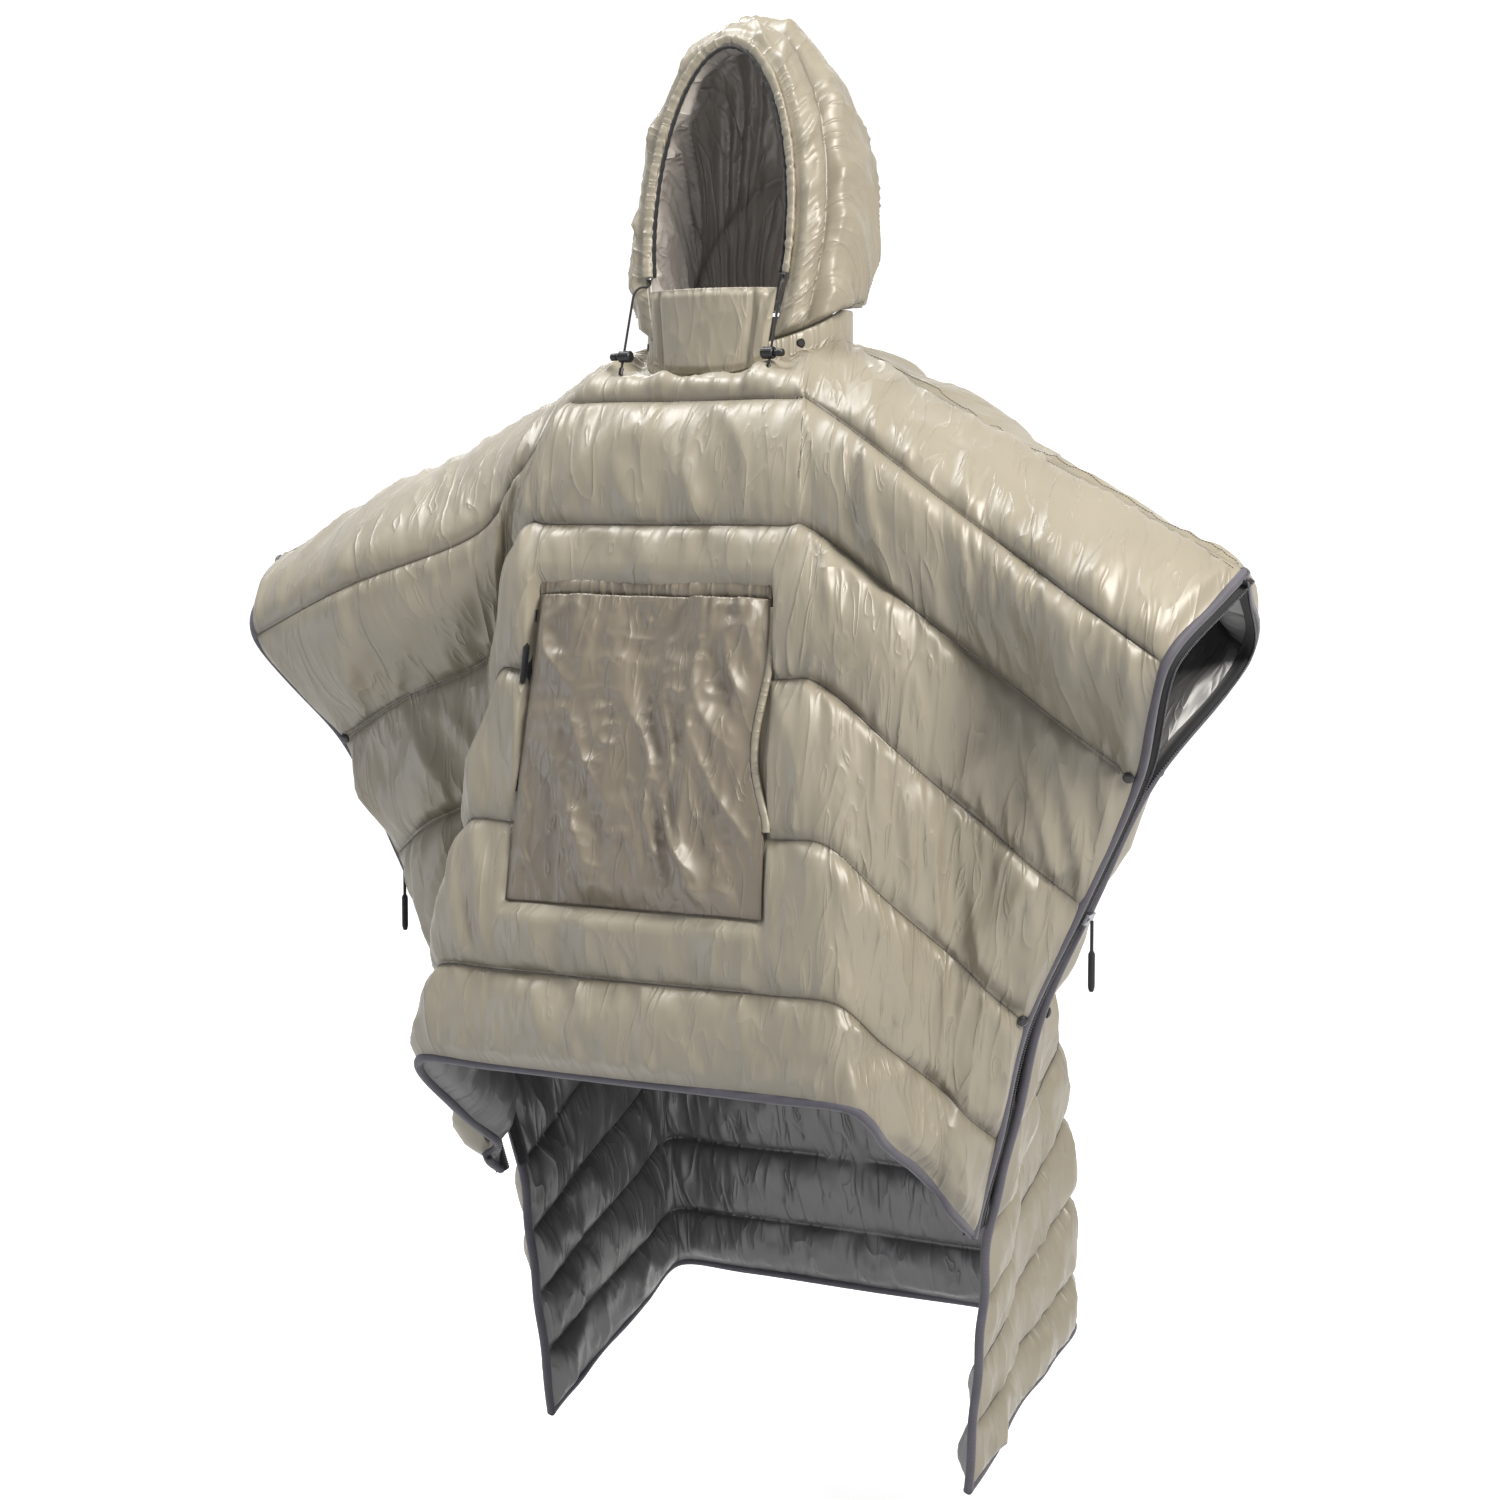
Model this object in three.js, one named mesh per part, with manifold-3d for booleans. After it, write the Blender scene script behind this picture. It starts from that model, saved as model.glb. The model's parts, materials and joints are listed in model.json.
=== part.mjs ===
// Hooded camp quilt, hanging as it does when worn with the arms held out and drooping.
// Millimetres. +Z up, +X the wearer's left, -Y the front.
// The origin is the point midway between the shoulders where the quilt rests on its wearer.
import * as THREE from "three";
import { mergeVertices } from "three/addons/utils/BufferGeometryUtils.js";
import Module from "manifold-3d";

const wasm = await Module();
wasm.setup();

// ---- driving dimensions ----
const clearance = 0.3; // gap between pieces that touch
const shellThickness = 1;
const fillThickness = 10;
const liningThickness = 1;

const neckHalfWidth = 125;
const neckHalfDepth = 112;
const neckFrontZ = -50;
const neckBackZ = 2;
const bandHeight = 42;
const bandThickness = 6;
const bandFacets = 16;
const bandDrop = 8; // how far the band reaches below the edge of the neck hole

const armLength = 592; // neck side to sleeve end, along the shoulder line
const armDroop = THREE.MathUtils.degToRad(26);
const armSweep = 80; // how far forward the sleeve ends reach
const edgeSweepPerLength = 0.05; // how much of it is lost on the way down the side edge
const sideLift = 55; // the side edge hangs steeper below the elbow
const sideLiftFrom = 575;
const sideLiftTo = 860;
const steepAngle = THREE.MathUtils.degToRad(6);

const frontLines = [0, 110, 260, 420, 575, 730, 860]; // quilt lines down the side edge, hem last
const frontCentreZ = [neckFrontZ, -72, -215, -385, -560, -730, -845];
const frontCentreY = [0, -150, -200, -228, -256, -278, -288];
const backLines = [0, 110, 260, 420, 575, 730, 860, 950, 1030, 1105, 1185];
const backCentreZ = [neckBackZ, -72, -225, -385, -545, -705, -840, -945, -1045, -1145, -1225];
const backCentreY = [0, 160, 195, 215, 232, 248, 262, 275, 290, 306, 320];

const panelHalfTop = 165; // centre panel, at the first quilt line
const panelSpread = 26; // added on each side by each quilt line below it
const creaseInset = 6; // the crease beside the centre panel lies this far in
const creaseDrop = 4;
const creaseToPocket = 12; // least distance between them
const nearFoldAim = [0.5, 0.86]; // sideways and outward shares of the fold nearer the centre
const farFoldAim = [0.35, 0.9];
const pocketHalfTop = 154;
const pocketSpread = 8;
const pocketTopLine = 2.5;
const pocketBottomLine = 4.5;
const pocketThickness = 3;
const pocketBulge = 20;
const pocketSideCurve = 0.6; // how squarely it stands off at its sides
const pocketMouthShare = 0.6; // of the bulge, at the mouth
const pocketDownShare = 0.8; // gained on the way down
const pocketBottomCurve = 3; // how late it closes towards the bottom

const sleeveFrontDepth = 115; // sleeve opening, forward and back of the shoulder line
const sleeveBackDepth = 150;
const edgeHalfGap = 22; // shell faces to the middle of the zipped side edge
const snapLineEase = 10; // more of it at the second line, where the sleeve closes

const bindingWidth = 6;
const bindingOverlap = 1;
const twistShare = 0.4; // of the quilt's thickness, kept clear per radian of twist
const zipTapeWidth = 9;
const zipTapeThickness = 3;

const hoodCrown = [[-46, 352], [28, 374], [112, 306], [148, 190], [136, 96], [116, 58]]; // Y, Z
const hoodRimTurn = THREE.MathUtils.degToRad(140); // where the rim meets the band, from the back
const hoodNapeTurn = THREE.MathUtils.degToRad(8);
const hoodRimArc = THREE.MathUtils.degToRad(126); // half of the rim's horseshoe
const hoodNapeArc = THREE.MathUtils.degToRad(90);
const hoodArcEase = 1.3; // how early the arc reaches the nape's width
const hoodBaseOut = 4; // base of the hood outside the band's outer face
const hoodBaseLift = 3; // and above the band
const channelDepth = 8;
const channelWall = 1.2;
const drawcordRadius = 1.5;
const drawcordSlack = 0.4; // round the cord in its channel
const drawcordOut = 4; // from the hood's edge to the cord's middle, inside the channel
const eyeletRadius = 3.6;
const eyeletBore = 2.2;
const eyeletThickness = 2;
const freeCordTop = [99, -103, 50]; // where the free end starts to hang straight, at the left
const freeCordDrop = [0, -26, -84]; // the straight part, down and a little forward
const freeCordLead = 9; // straight out of the channel before it bends

const chinTopZ = 56;
const chinBottomZ = -42;
const chinTopTurn = THREE.MathUtils.degToRad(42);
const chinBottomTurn = THREE.MathUtils.degToRad(36);
const chinThickness = 5;
const chinCorner = 20;

const lockRadius = 7;
const lockHeight = 16;
const lockChamfer = 1.5;
const lockFloor = 1;
const lockRimWidth = 1; // round the button's bore
const lockCordOffset = 3; // from the lock's middle to the cord
const lockDrop = 74; // lock's middle below the top of the straight part
const buttonRadius = 4.4;
const buttonReach = 7;
const buttonBoreInset = 0.6; // the button's head covers its bore by this much
const buttonTravel = 4;
const buttonChamfer = 1;
const buttonWall = 1; // left below the cord's slot
const springRadius = 2.6;
const springWire = 0.4;
const springTurns = 4;
const stopperRadius = 2.8;
const stopperLength = 8;

const snapRadius = 6.5;
const snapHeight = 3.5;
const snapInset = 13;
const snapCrown = 0.6; // width of its flat top, as a share of its base
const upperSnapLift = 2.3; // the cloth turns most under the upper snaps
const lowerSnapLift = 0.8;
const neckSnapFacet = 2; // the band's facet that it sits on, counted from the front
const neckSnapHeight = 20; // above the edge of the neck hole

const pocketZipTop = 2.6; // in quilt lines
const pocketZipBottom = 3.8;
const pocketZipWidth = 9;
const pocketZipThickness = 2;
const pocketZipLift = 0.6;
const pocketZipGap = 2.2; // between the pocket's side and the zip, so that the slider passes
const weltHeight = 12;
const weltRise = 0.06; // its middle above the pocket's top, in quilt lines
const pipedWeltWidth = 7;
const sliderLength = 14;
const sliderThickness = 4;
const sliderOverhang = 1;
const pullCordRadius = 2;
const pullCordLength = 36;
const pullTabRadius = 4;
const pullTabLength = 44;
const pullTabTip = 6; // length of the tapered tip
const pullTabShoulder = 4;
const sideSliderStart = 8; // below the third line
const sideSliderSpan = 18;
const sideSliderLip = 5;
const sideSliderTongue = 4;

// ---- colours and finishes ----
const finishes = {
  shell: { color: 0xb9ae98, roughness: 0.42, metalness: 0 },
  pocket: { color: 0xa79d90, roughness: 0.45, metalness: 0 },
  lining: { color: 0x7d7a7c, roughness: 0.5, metalness: 0 },
  fill: { color: 0xe8e6e0, roughness: 0.95, metalness: 0 },
  binding: { color: 0x5f5d6d, roughness: 0.7, metalness: 0 },
  zip: { color: 0x202126, roughness: 0.6, metalness: 0 },
  cord: { color: 0x18181a, roughness: 0.85, metalness: 0 },
  plastic: { color: 0x141416, roughness: 0.4, metalness: 0 },
  metal: { color: 0x8d8f92, roughness: 0.3, metalness: 1 },
};

const quilt = new THREE.Group();
const edgeStation = 6; // stations across a face run from 0 at the centre to this at the side edge
const neckStation = 2; // the neck hole reaches this far across
const sleeveLine = 6; // the front hem's line, where the folds stop growing

// Wraps a geometry in a named mesh of one finish and puts it in a group.
function addPiece(name, geometry, finish, parent = quilt) {
  const mesh = new THREE.Mesh(geometry, new THREE.MeshStandardMaterial(finishes[finish]));
  mesh.name = name;
  parent.add(mesh);
  return mesh;
}

const sides = [
  { name: "left", sign: 1 },
  { name: "right", sign: -1 },
];
const vec = (x, y, z) => new THREE.Vector3(x, y, z);
const range = (count) => Array.from({ length: count }, (unused, k) => k);
const down = vec(-Math.sin(armDroop), 0, -Math.cos(armDroop));
const steepDown = vec(-Math.sin(steepAngle), 0, -Math.cos(steepAngle));
const sleeveEnd = vec(
  neckHalfWidth + armLength * Math.cos(armDroop),
  -armSweep,
  -armLength * Math.sin(armDroop),
);

// ---- how the cloth hangs ----
// Middle plane of the side edge, at a length below the sleeve end.
// It slants in with the sleeve, then hangs steeply from the front hem's corner down.
function sideEdge(length) {
  const slanted = Math.min(length, sideLiftTo);
  const lift = sideLift * THREE.MathUtils.smoothstep(slanted, sideLiftFrom, sideLiftTo);
  const point = sleeveEnd.clone().addScaledVector(down, slanted);
  point.addScaledVector(steepDown, length - slanted);
  return point.add(vec(lift, edgeSweepPerLength * length, 0));
}

// The shoulder line from the side of the neck (0) to the sleeve end (1).
function shoulderLine(share) {
  return vec(neckHalfWidth, 0, 0).lerp(sleeveEnd, share);
}

// The top edge of a face: round the neck band up to station 2, then out along the shoulder line.
function topEdge(face, station) {
  const distance = Math.abs(station);
  const sign = station < 0 ? -1 : 1;
  if (distance > neckStation) {
    const point = shoulderLine((distance - neckStation) / (edgeStation - neckStation));
    return vec(sign * point.x, point.y + face * clearance, point.z);
  }
  const turn = (distance / neckStation) * (Math.PI / 2);
  const lowZ = face < 0 ? neckFrontZ : neckBackZ;
  return vec(
    sign * neckHalfWidth * Math.sin(turn),
    face * (neckHalfDepth * Math.cos(turn) + clearance),
    lowZ * Math.cos(turn),
  );
}

// Points across one half of a face along quilt line k, from the centre to the side edge.
// face is -1 for the front and 1 for the back; hang says how the folds lie on this side.
function lineControls(face, line, hang) {
  const front = face < 0;
  const centreZ = (front ? frontCentreZ : backCentreZ)[line];
  const centreY = (front ? frontCentreY : backCentreY)[line];
  if (line === 0) return range(edgeStation + 1).map((station) => topEdge(face, station));
  const length = (front ? frontLines : backLines)[line];
  const level = Math.min(line, sleeveLine);
  const half = panelHalfTop + panelSpread * (level - 1);
  const pocketHalf = pocketHalfTop + pocketSpread * (level - pocketTopLine);
  const edge = sideEdge(length);
  if (line === 1) {
    edge.y += front ? -sleeveFrontDepth : sleeveBackDepth;
  } else {
    edge.y += face * (edgeHalfGap + (line === 2 ? snapLineEase : 0));
  }
  const ridge = vec(half, centreY - face * creaseInset, centreZ - creaseDrop);
  const share = level / sleeveLine;
  const valley = vec(
    THREE.MathUtils.lerp(ridge.x, edge.x, hang.across(share)),
    THREE.MathUtils.lerp(ridge.y, edge.y, hang.inward(share)),
    THREE.MathUtils.lerp(ridge.z, edge.z, hang.drop(share)),
  );
  const bulge = ([sideways, outward], size) => vec(sideways, face * outward, 0).multiplyScalar(size);
  const near = ridge.clone().lerp(valley, 0.5).add(bulge(nearFoldAim, hang.near(share)));
  const far = valley.clone().lerp(edge, 0.5).add(bulge(farFoldAim, hang.far(share)));
  const pocketSide = vec(Math.min(pocketHalf, half - creaseToPocket), centreY, centreZ);
  return [vec(0, centreY, centreZ), pocketSide, ridge, near, valley, far, edge];
}

const mix = (from, to) => (share) => THREE.MathUtils.lerp(from, to, share);
// How a side hangs: where its fold lies between crease and edge, and how far the cloth stands off.
const fold = (across, inward, drop, near, far) => ({
  across: mix(...across),
  inward: mix(...inward),
  drop: mix(...drop),
  near: mix(...near),
  far: mix(...far),
});
const backFold = fold([0.6, 0.6], [0.55, 0.6], [0.55, 0.55], [20, 8], [22, 12]);
const hangs = {
  front: {
    1: fold([0.6, 0.5], [0.6, 0.62], [0.6, 0.55], [26, 4], [20, 16]),
    "-1": fold([0.2, 0.5], [0.8, 0.82], [0.5, 0.74], [0, 10], [24, 16]),
  },
  back: { 1: backFold, "-1": backFold },
};

const smooth = (points) => new THREE.CatmullRomCurve3(points, false, "catmullrom", 0.5);

// Where the grid is cut across.
const halfStations = range(2 * edgeStation + 1).map((k) => k / 2);
const stations = [...halfStations.slice(1).reverse().map((s) => -s), ...halfStations];

// One face of the quilt as a grid of points: rows down the cloth, columns from -X to +X.
function faceGrid(face, rows) {
  const front = face < 0;
  const lines = front ? frontLines : backLines;
  const hang = hangs[front ? "front" : "back"];
  const controls = lines.map((unused, line) => {
    const plus = lineControls(face, line, hang[1]);
    const minus = lineControls(face, line, hang[-1]).slice(1).reverse();
    return [...minus.map((p) => vec(-p.x, p.y, p.z)), ...plus];
  });
  const count = controls[0].length;
  const downCurves = range(count).map((i) => smooth(controls.map((row) => row[i])));
  return rows.map((row) => {
    if (row === 0) return stations.map((s) => topEdge(face, s));
    const across = smooth(downCurves.map((curve) => curve.getPoint(row / (lines.length - 1))));
    return stations.map((s) => across.getPoint((s + edgeStation) / (count - 1)));
  });
}

const frontRows = [0, 0.5, 1, 1.5, 2, 2.5, 3, 3.5, 4, 4.5, 5, 5.5, 6];
const backRows = [0, 0.5, 1, 1.5, 2, 2.5, 3, 3.5, 4, 4.5, 5, 6, 7, 8, 9, 10];

// Outward directions at the grid's points, from the neighbouring points.
// Along the shoulder line they stand in the X-Z plane, so that front and back meet face to face.
function gridNormals(grid, face, seamRow) {
  const last = grid.length - 1;
  const width = grid[0].length - 1;
  return grid.map((row, j) => row.map((unused, i) => {
    const along = grid[Math.min(j + 1, last)][i].clone().sub(grid[Math.max(j - 1, 0)][i]);
    const across = grid[j][Math.min(i + 1, width)].clone().sub(grid[j][Math.max(i - 1, 0)]);
    const normal = across.cross(along).multiplyScalar(face).normalize();
    if (seamRow && j === 0) {
      const side = Math.abs(grid[0][i].x) > neckHalfWidth + 1 ? Math.sign(grid[0][i].x) : 0;
      normal.set(side * Math.sin(armDroop), 0, Math.cos(armDroop * Math.abs(side)));
    }
    return normal.normalize();
  }));
}

// A closed slab between two offsets of a grid, positive outward.
// from and to may be functions of the row and column shares.
function slab(grid, normals, from, to) {
  const height = grid.length;
  const width = grid[0].length;
  const level = (offset, j, i) => (
    typeof offset === "function" ? offset(j / (height - 1), i / (width - 1)) : offset
  );
  const positions = [];
  for (const offset of [to, from]) {
    for (let j = 0; j < height; j += 1) {
      for (let i = 0; i < width; i += 1) {
        const p = grid[j][i].clone().addScaledVector(normals[j][i], level(offset, j, i));
        positions.push(p.x, p.y, p.z);
      }
    }
  }
  const outer = (j, i) => j * width + i;
  const inner = (j, i) => height * width + j * width + i;
  const faces = [];
  const quad = (a, b, c, d) => faces.push(a, b, c, a, c, d);
  for (let j = 0; j < height - 1; j += 1) {
    for (let i = 0; i < width - 1; i += 1) {
      quad(outer(j, i), outer(j + 1, i), outer(j + 1, i + 1), outer(j, i + 1));
      quad(inner(j, i), inner(j, i + 1), inner(j + 1, i + 1), inner(j + 1, i));
    }
    quad(outer(j, 0), inner(j, 0), inner(j + 1, 0), outer(j + 1, 0));
    const w = width - 1;
    quad(outer(j, w), outer(j + 1, w), inner(j + 1, w), inner(j, w));
  }
  for (let i = 0; i < width - 1; i += 1) {
    const h = height - 1;
    quad(outer(0, i), outer(0, i + 1), inner(0, i + 1), inner(0, i));
    quad(outer(h, i), inner(h, i), inner(h, i + 1), outer(h, i + 1));
  }
  return closedGeometry(positions, faces);
}

// Geometry from positions and triangles, turned outward if its volume comes out negative.
function closedGeometry(positions, faces) {
  let volume = 0;
  const at = (k) => vec(positions[3 * k], positions[3 * k + 1], positions[3 * k + 2]);
  for (let f = 0; f < faces.length; f += 3) {
    volume += at(faces[f]).dot(at(faces[f + 1]).cross(at(faces[f + 2])));
  }
  if (volume < 0) faces.reverse();
  const geometry = new THREE.BufferGeometry();
  geometry.setAttribute("position", new THREE.Float32BufferAttribute(positions, 3));
  geometry.setIndex(faces);
  return geometry;
}

// A flat outline carried along a path: at each point it lies in the plane of two given directions.
function sweep(points, firstAxes, secondAxes, outline) {
  const size = outline.length;
  const positions = [];
  points.forEach((point, k) => {
    outline.forEach(([a, b]) => {
      const p = point.clone().addScaledVector(firstAxes[k], a).addScaledVector(secondAxes[k], b);
      positions.push(p.x, p.y, p.z);
    });
  });
  const faces = [];
  for (let k = 0; k < points.length - 1; k += 1) {
    for (let m = 0; m < size; m += 1) {
      const next = (m + 1) % size;
      const a = k * size + m;
      const b = k * size + next;
      faces.push(a, b, b + size, a, b + size, a + size);
    }
  }
  const flat = outline.map(([a, b]) => new THREE.Vector2(a, b));
  const end = (points.length - 1) * size;
  const reversed = THREE.ShapeUtils.isClockWise(flat);
  for (const triangle of THREE.ShapeUtils.triangulateShape(flat, [])) {
    const [a, b, c] = reversed ? triangle.reverse() : triangle;
    faces.push(c, b, a, end + a, end + b, end + c);
  }
  return closedGeometry(positions, faces);
}

const layers = [
  { name: "shell", thickness: shellThickness },
  { name: "fill", thickness: fillThickness },
  { name: "lining", thickness: liningThickness },
];
const quiltThickness = shellThickness + fillThickness + liningThickness + 2 * clearance;

// The three layers of one quilted panel, one inside the other.
function addLayers(name, grid, normals, parent) {
  let depth = 0;
  for (const layer of layers) {
    const geometry = slab(grid, normals, -depth - layer.thickness, -depth);
    addPiece(`${name}_${layer.name}`, geometry, layer.name, parent);
    depth += layer.thickness + clearance;
  }
}

// Directions pointing out of the cloth at a border, square to the border and to its normals.
function outDirections(border, inner, normals) {
  const last = border.length - 1;
  return border.map((p, k) => {
    const along = border[Math.min(k + 1, last)].clone().sub(border[Math.max(k - 1, 0)]);
    const out = along.cross(normals[k]).normalize();
    return out.multiplyScalar(Math.sign(out.dot(p.clone().sub(inner[k]))));
  });
}

const front = { grid: faceGrid(-1, frontRows) };
front.normals = gridNormals(front.grid, -1, true);
const back = { grid: faceGrid(1, backRows) };
back.normals = gridNormals(back.grid, 1, true);
addLayers("front", front.grid, front.normals, quilt);
addLayers("back", back.grid, back.normals, quilt);

// The border moved out by the clearance, and by more where the cloth twists along it.
function clearBorder(border, out, normals) {
  const last = border.length - 1;
  return border.map((p, k) => {
    const before = normals[Math.max(k - 1, 0)].angleTo(normals[k]);
    const after = normals[Math.min(k + 1, last)].angleTo(normals[k]);
    const twist = Math.max(before, after) * quiltThickness * twistShare;
    return p.clone().addScaledVector(out[k], clearance + twist);
  });
}

// ---- edge bindings and the side zips ----
const bindingOutline = [
  [0, bindingOverlap],
  [bindingWidth, bindingOverlap],
  [bindingWidth, -quiltThickness - bindingOverlap],
  [0, -quiltThickness - bindingOverlap],
];
const zipTop = -quiltThickness - bindingOverlap - clearance;
const zipOutline = [
  [0, zipTop],
  [zipTapeWidth, zipTop],
  [zipTapeWidth, zipTop - zipTapeThickness],
  [0, zipTop - zipTapeThickness],
];

const slidingLines = [3, 3.5, 4]; // the straight stretch of the side zip
const zipCorners = { left: [], right: [] }; // of both halves, on that stretch
const column = (grid, i, from, to) => grid.slice(from, to).map((row) => row[i]);
const faces = [
  { name: "front", panel: front, zipRow: frontRows.indexOf(sleeveLine) },
  { name: "back", panel: back, zipRow: backRows.indexOf(sleeveLine) },
];
for (const { name, panel, zipRow } of faces) {
  const rowCount = panel.grid.length;
  const hem = panel.grid[rowCount - 1];
  const hemNormals = panel.normals[rowCount - 1];
  const hemOut = outDirections(hem, panel.grid[rowCount - 2], hemNormals);
  const hemPath = clearBorder(hem, hemOut, hemNormals);
  addPiece(`${name}_hem_binding`, sweep(hemPath, hemOut, hemNormals, bindingOutline), "binding");
  for (const side of sides) {
    const edgeIndex = side.sign > 0 ? stations.length - 1 : 0;
    const nextIndex = edgeIndex - side.sign;
    const edge = column(panel.grid, edgeIndex, 1, rowCount);
    const normals = column(panel.normals, edgeIndex, 1, rowCount);
    const out = outDirections(edge, column(panel.grid, nextIndex, 1, rowCount), normals);
    const path = clearBorder(edge, out, normals);
    addPiece(`${name}_side_binding_${side.name}`, sweep(path, out, normals, bindingOutline), "binding");
    const zipPart = (list) => list.slice(0, zipRow);
    const zip = sweep(zipPart(path), zipPart(out), zipPart(normals), zipOutline);
    for (const line of slidingLines) {
      const k = frontRows.indexOf(line) - 1;
      const corners = zipOutline.map(([a, b]) => (
        path[k].clone().addScaledVector(out[k], a).addScaledVector(normals[k], b)
      ));
      zipCorners[side.name].push({ line, corners });
    }
    addPiece(`${name}_zip_half_${side.name}`, zip, "zip");
  }
}

// ---- the neck: band, chin panel and hood ----
// A point round the neck, turn measured from the front, at a distance outside the band's outer face.
function neckPoint(turn, outside, height) {
  const lowZ = Math.cos(turn) > 0 ? neckFrontZ : -neckBackZ;
  return vec(
    (neckHalfWidth + outside) * Math.sin(turn),
    -(neckHalfDepth + outside) * Math.cos(turn),
    lowZ * Math.cos(turn) + height,
  );
}

// The band is a closed ring standing inside the neck hole.
function neckBand() {
  const steps = bandFacets;
  const outline = [[-clearance, 0], [-clearance, 1], [-bandThickness, 1], [-bandThickness, 0]];
  const positions = [];
  const faces = [];
  for (let k = 0; k < steps; k += 1) {
    for (const [outside, top] of outline) {
      const p = neckPoint((2 * Math.PI * k) / steps, outside - clearance, top * bandHeight - bandDrop);
      positions.push(p.x, p.y, p.z);
    }
    const next = ((k + 1) % steps) * 4;
    for (let m = 0; m < 4; m += 1) {
      const n = (m + 1) % 4;
      faces.push(4 * k + m, 4 * k + n, next + n, 4 * k + m, next + n, next + m);
    }
  }
  return closedGeometry(positions, faces);
}
addPiece("neck_band", neckBand(), "shell");

const shares = (count) => range(count + 1).map((k) => k / count);

function chinGrid() {
  return shares(6).map((row) => shares(8).map((column) => {
    const across = 2 * column - 1;
    const turn = across * THREE.MathUtils.lerp(chinTopTurn, chinBottomTurn, row);
    const bottom = chinBottomZ + chinCorner * Math.abs(across) ** 4;
    const p = neckPoint(turn, clearance, 0);
    return vec(p.x, p.y, THREE.MathUtils.lerp(chinTopZ, bottom, row));
  }));
}
const chin = chinGrid();
addPiece("chin_panel", slab(chin, gridNormals(chin, -1, false), 0, chinThickness), "shell");

// The hood as arcs over the head, the rim first; each ends on the neck band at both sides.
const hoodRows = 9;
const hoodColumns = 12;
const crown = smooth(hoodCrown.map(([y, z]) => vec(0, y, z)));
function hoodGrid() {
  return shares(hoodRows).map((row) => {
    const turn = THREE.MathUtils.lerp(hoodRimTurn, hoodNapeTurn, row);
    const arc = THREE.MathUtils.lerp(hoodRimArc, hoodNapeArc, Math.min(1, hoodArcEase * row));
    const base = neckPoint(Math.PI - turn, hoodBaseOut, bandHeight - bandDrop + hoodBaseLift);
    const top = crown.getPoint(row);
    return shares(hoodColumns).map((column) => {
      const angle = (2 * column - 1) * arc;
      const rise = (Math.cos(angle) - Math.cos(arc)) / (1 - Math.cos(arc));
      return vec(
        (base.x * Math.sin(angle)) / Math.sin(arc),
        THREE.MathUtils.lerp(base.y, top.y, rise),
        THREE.MathUtils.lerp(base.z, top.z, rise),
      );
    });
  });
}
const hood = new THREE.Group();
quilt.add(hood);
const hoodSurface = hoodGrid();
const hoodNormals = gridNormals(hoodSurface, 1, false);
addLayers("hood", hoodSurface, hoodNormals, hood);

// The channel round the face opening, with the drawcord inside it.
const rim = hoodSurface[0].slice(1, -1);
const rimNormals = hoodNormals[0].slice(1, -1);
const rimOut = outDirections(rim, hoodSurface[1].slice(1, -1), rimNormals);
const rimPath = clearBorder(rim, rimOut, rimNormals);
const middle = -quiltThickness / 2;
const bore = drawcordRadius + drawcordSlack;
const boreEnd = drawcordOut + bore;
const channelOutline = [
  [0, channelWall],
  [channelDepth, channelWall],
  [channelDepth, -quiltThickness - channelWall],
  [0, -quiltThickness - channelWall],
  [0, middle - bore],
  [boreEnd, middle - bore],
  [boreEnd, middle + bore],
  [0, middle + bore],
];
addPiece("hood_rim_channel", sweep(rimPath, rimOut, rimNormals, channelOutline), "binding", hood);
const ring = (radius, sides, a = 0, b = 0) => shares(sides).slice(0, -1).map((share) => [
  a + radius * Math.cos(2 * Math.PI * share),
  b + radius * Math.sin(2 * Math.PI * share),
]);
addPiece(
  "hood_drawcord",
  sweep(rimPath, rimOut, rimNormals, ring(drawcordRadius, 8, drawcordOut, middle)),
  "cord",
  hood,
);

// ---- places on the front and back faces ----
// A point and its outward direction on a face, at a quilt line and a station across it.
function onFace(panel, rows, line, station) {
  const j = Math.min(rows.findLastIndex((row) => row <= line), rows.length - 2);
  const i = Math.min(stations.findLastIndex((s) => s <= station), stations.length - 2);
  const downShare = (line - rows[j]) / (rows[j + 1] - rows[j]);
  const acrossShare = (station - stations[i]) / (stations[i + 1] - stations[i]);
  const blend = (field) => {
    const upper = field[j][i].clone().lerp(field[j][i + 1], acrossShare);
    return upper.lerp(field[j + 1][i].clone().lerp(field[j + 1][i + 1], acrossShare), downShare);
  };
  return { point: blend(panel.grid), normal: blend(panel.normals).normalize() };
}
const onFront = (line, station) => onFace(front, frontRows, line, station);
const onBack = (line, station) => onFace(back, backRows, line, station);

// The station on the flat centre of the front that lies a distance outside the pocket's side.
function besidePocket(line, distance) {
  const pocketHalf = onFront(line, 1).point.x;
  const panelHalf = onFront(line, 1.5).point.x;
  return 1 + (0.5 * distance) / (panelHalf - pocketHalf);
}

// Turns a mesh so that its own X, Y and Z lie along three square directions, and places it.
function place(mesh, origin, xAxis, yAxis, zAxis) {
  mesh.position.copy(origin);
  mesh.quaternion.setFromRotationMatrix(new THREE.Matrix4().makeBasis(xAxis, yAxis, zAxis));
  return mesh;
}

// Stands a piece that was turned about Y on a point, along a direction.
function stand(mesh, origin, direction) {
  mesh.position.copy(origin);
  mesh.quaternion.setFromUnitVectors(vec(0, 1, 0), direction.clone().normalize());
  return mesh;
}

// A solid turned about Y from a profile of [radius, height], bottom first.
function turned(profile, segments = 16) {
  return new THREE.LatheGeometry(profile.map(([r, h]) => new THREE.Vector2(r, h)), segments);
}

function toSolid(geometry) {
  const bare = geometry.clone();
  bare.deleteAttribute("normal");
  bare.deleteAttribute("uv");
  const merged = mergeVertices(bare);
  return new wasm.Manifold(new wasm.Mesh({
    numProp: 3,
    vertProperties: merged.attributes.position.array,
    triVerts: Uint32Array.from(merged.index.array),
  }));
}

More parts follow.
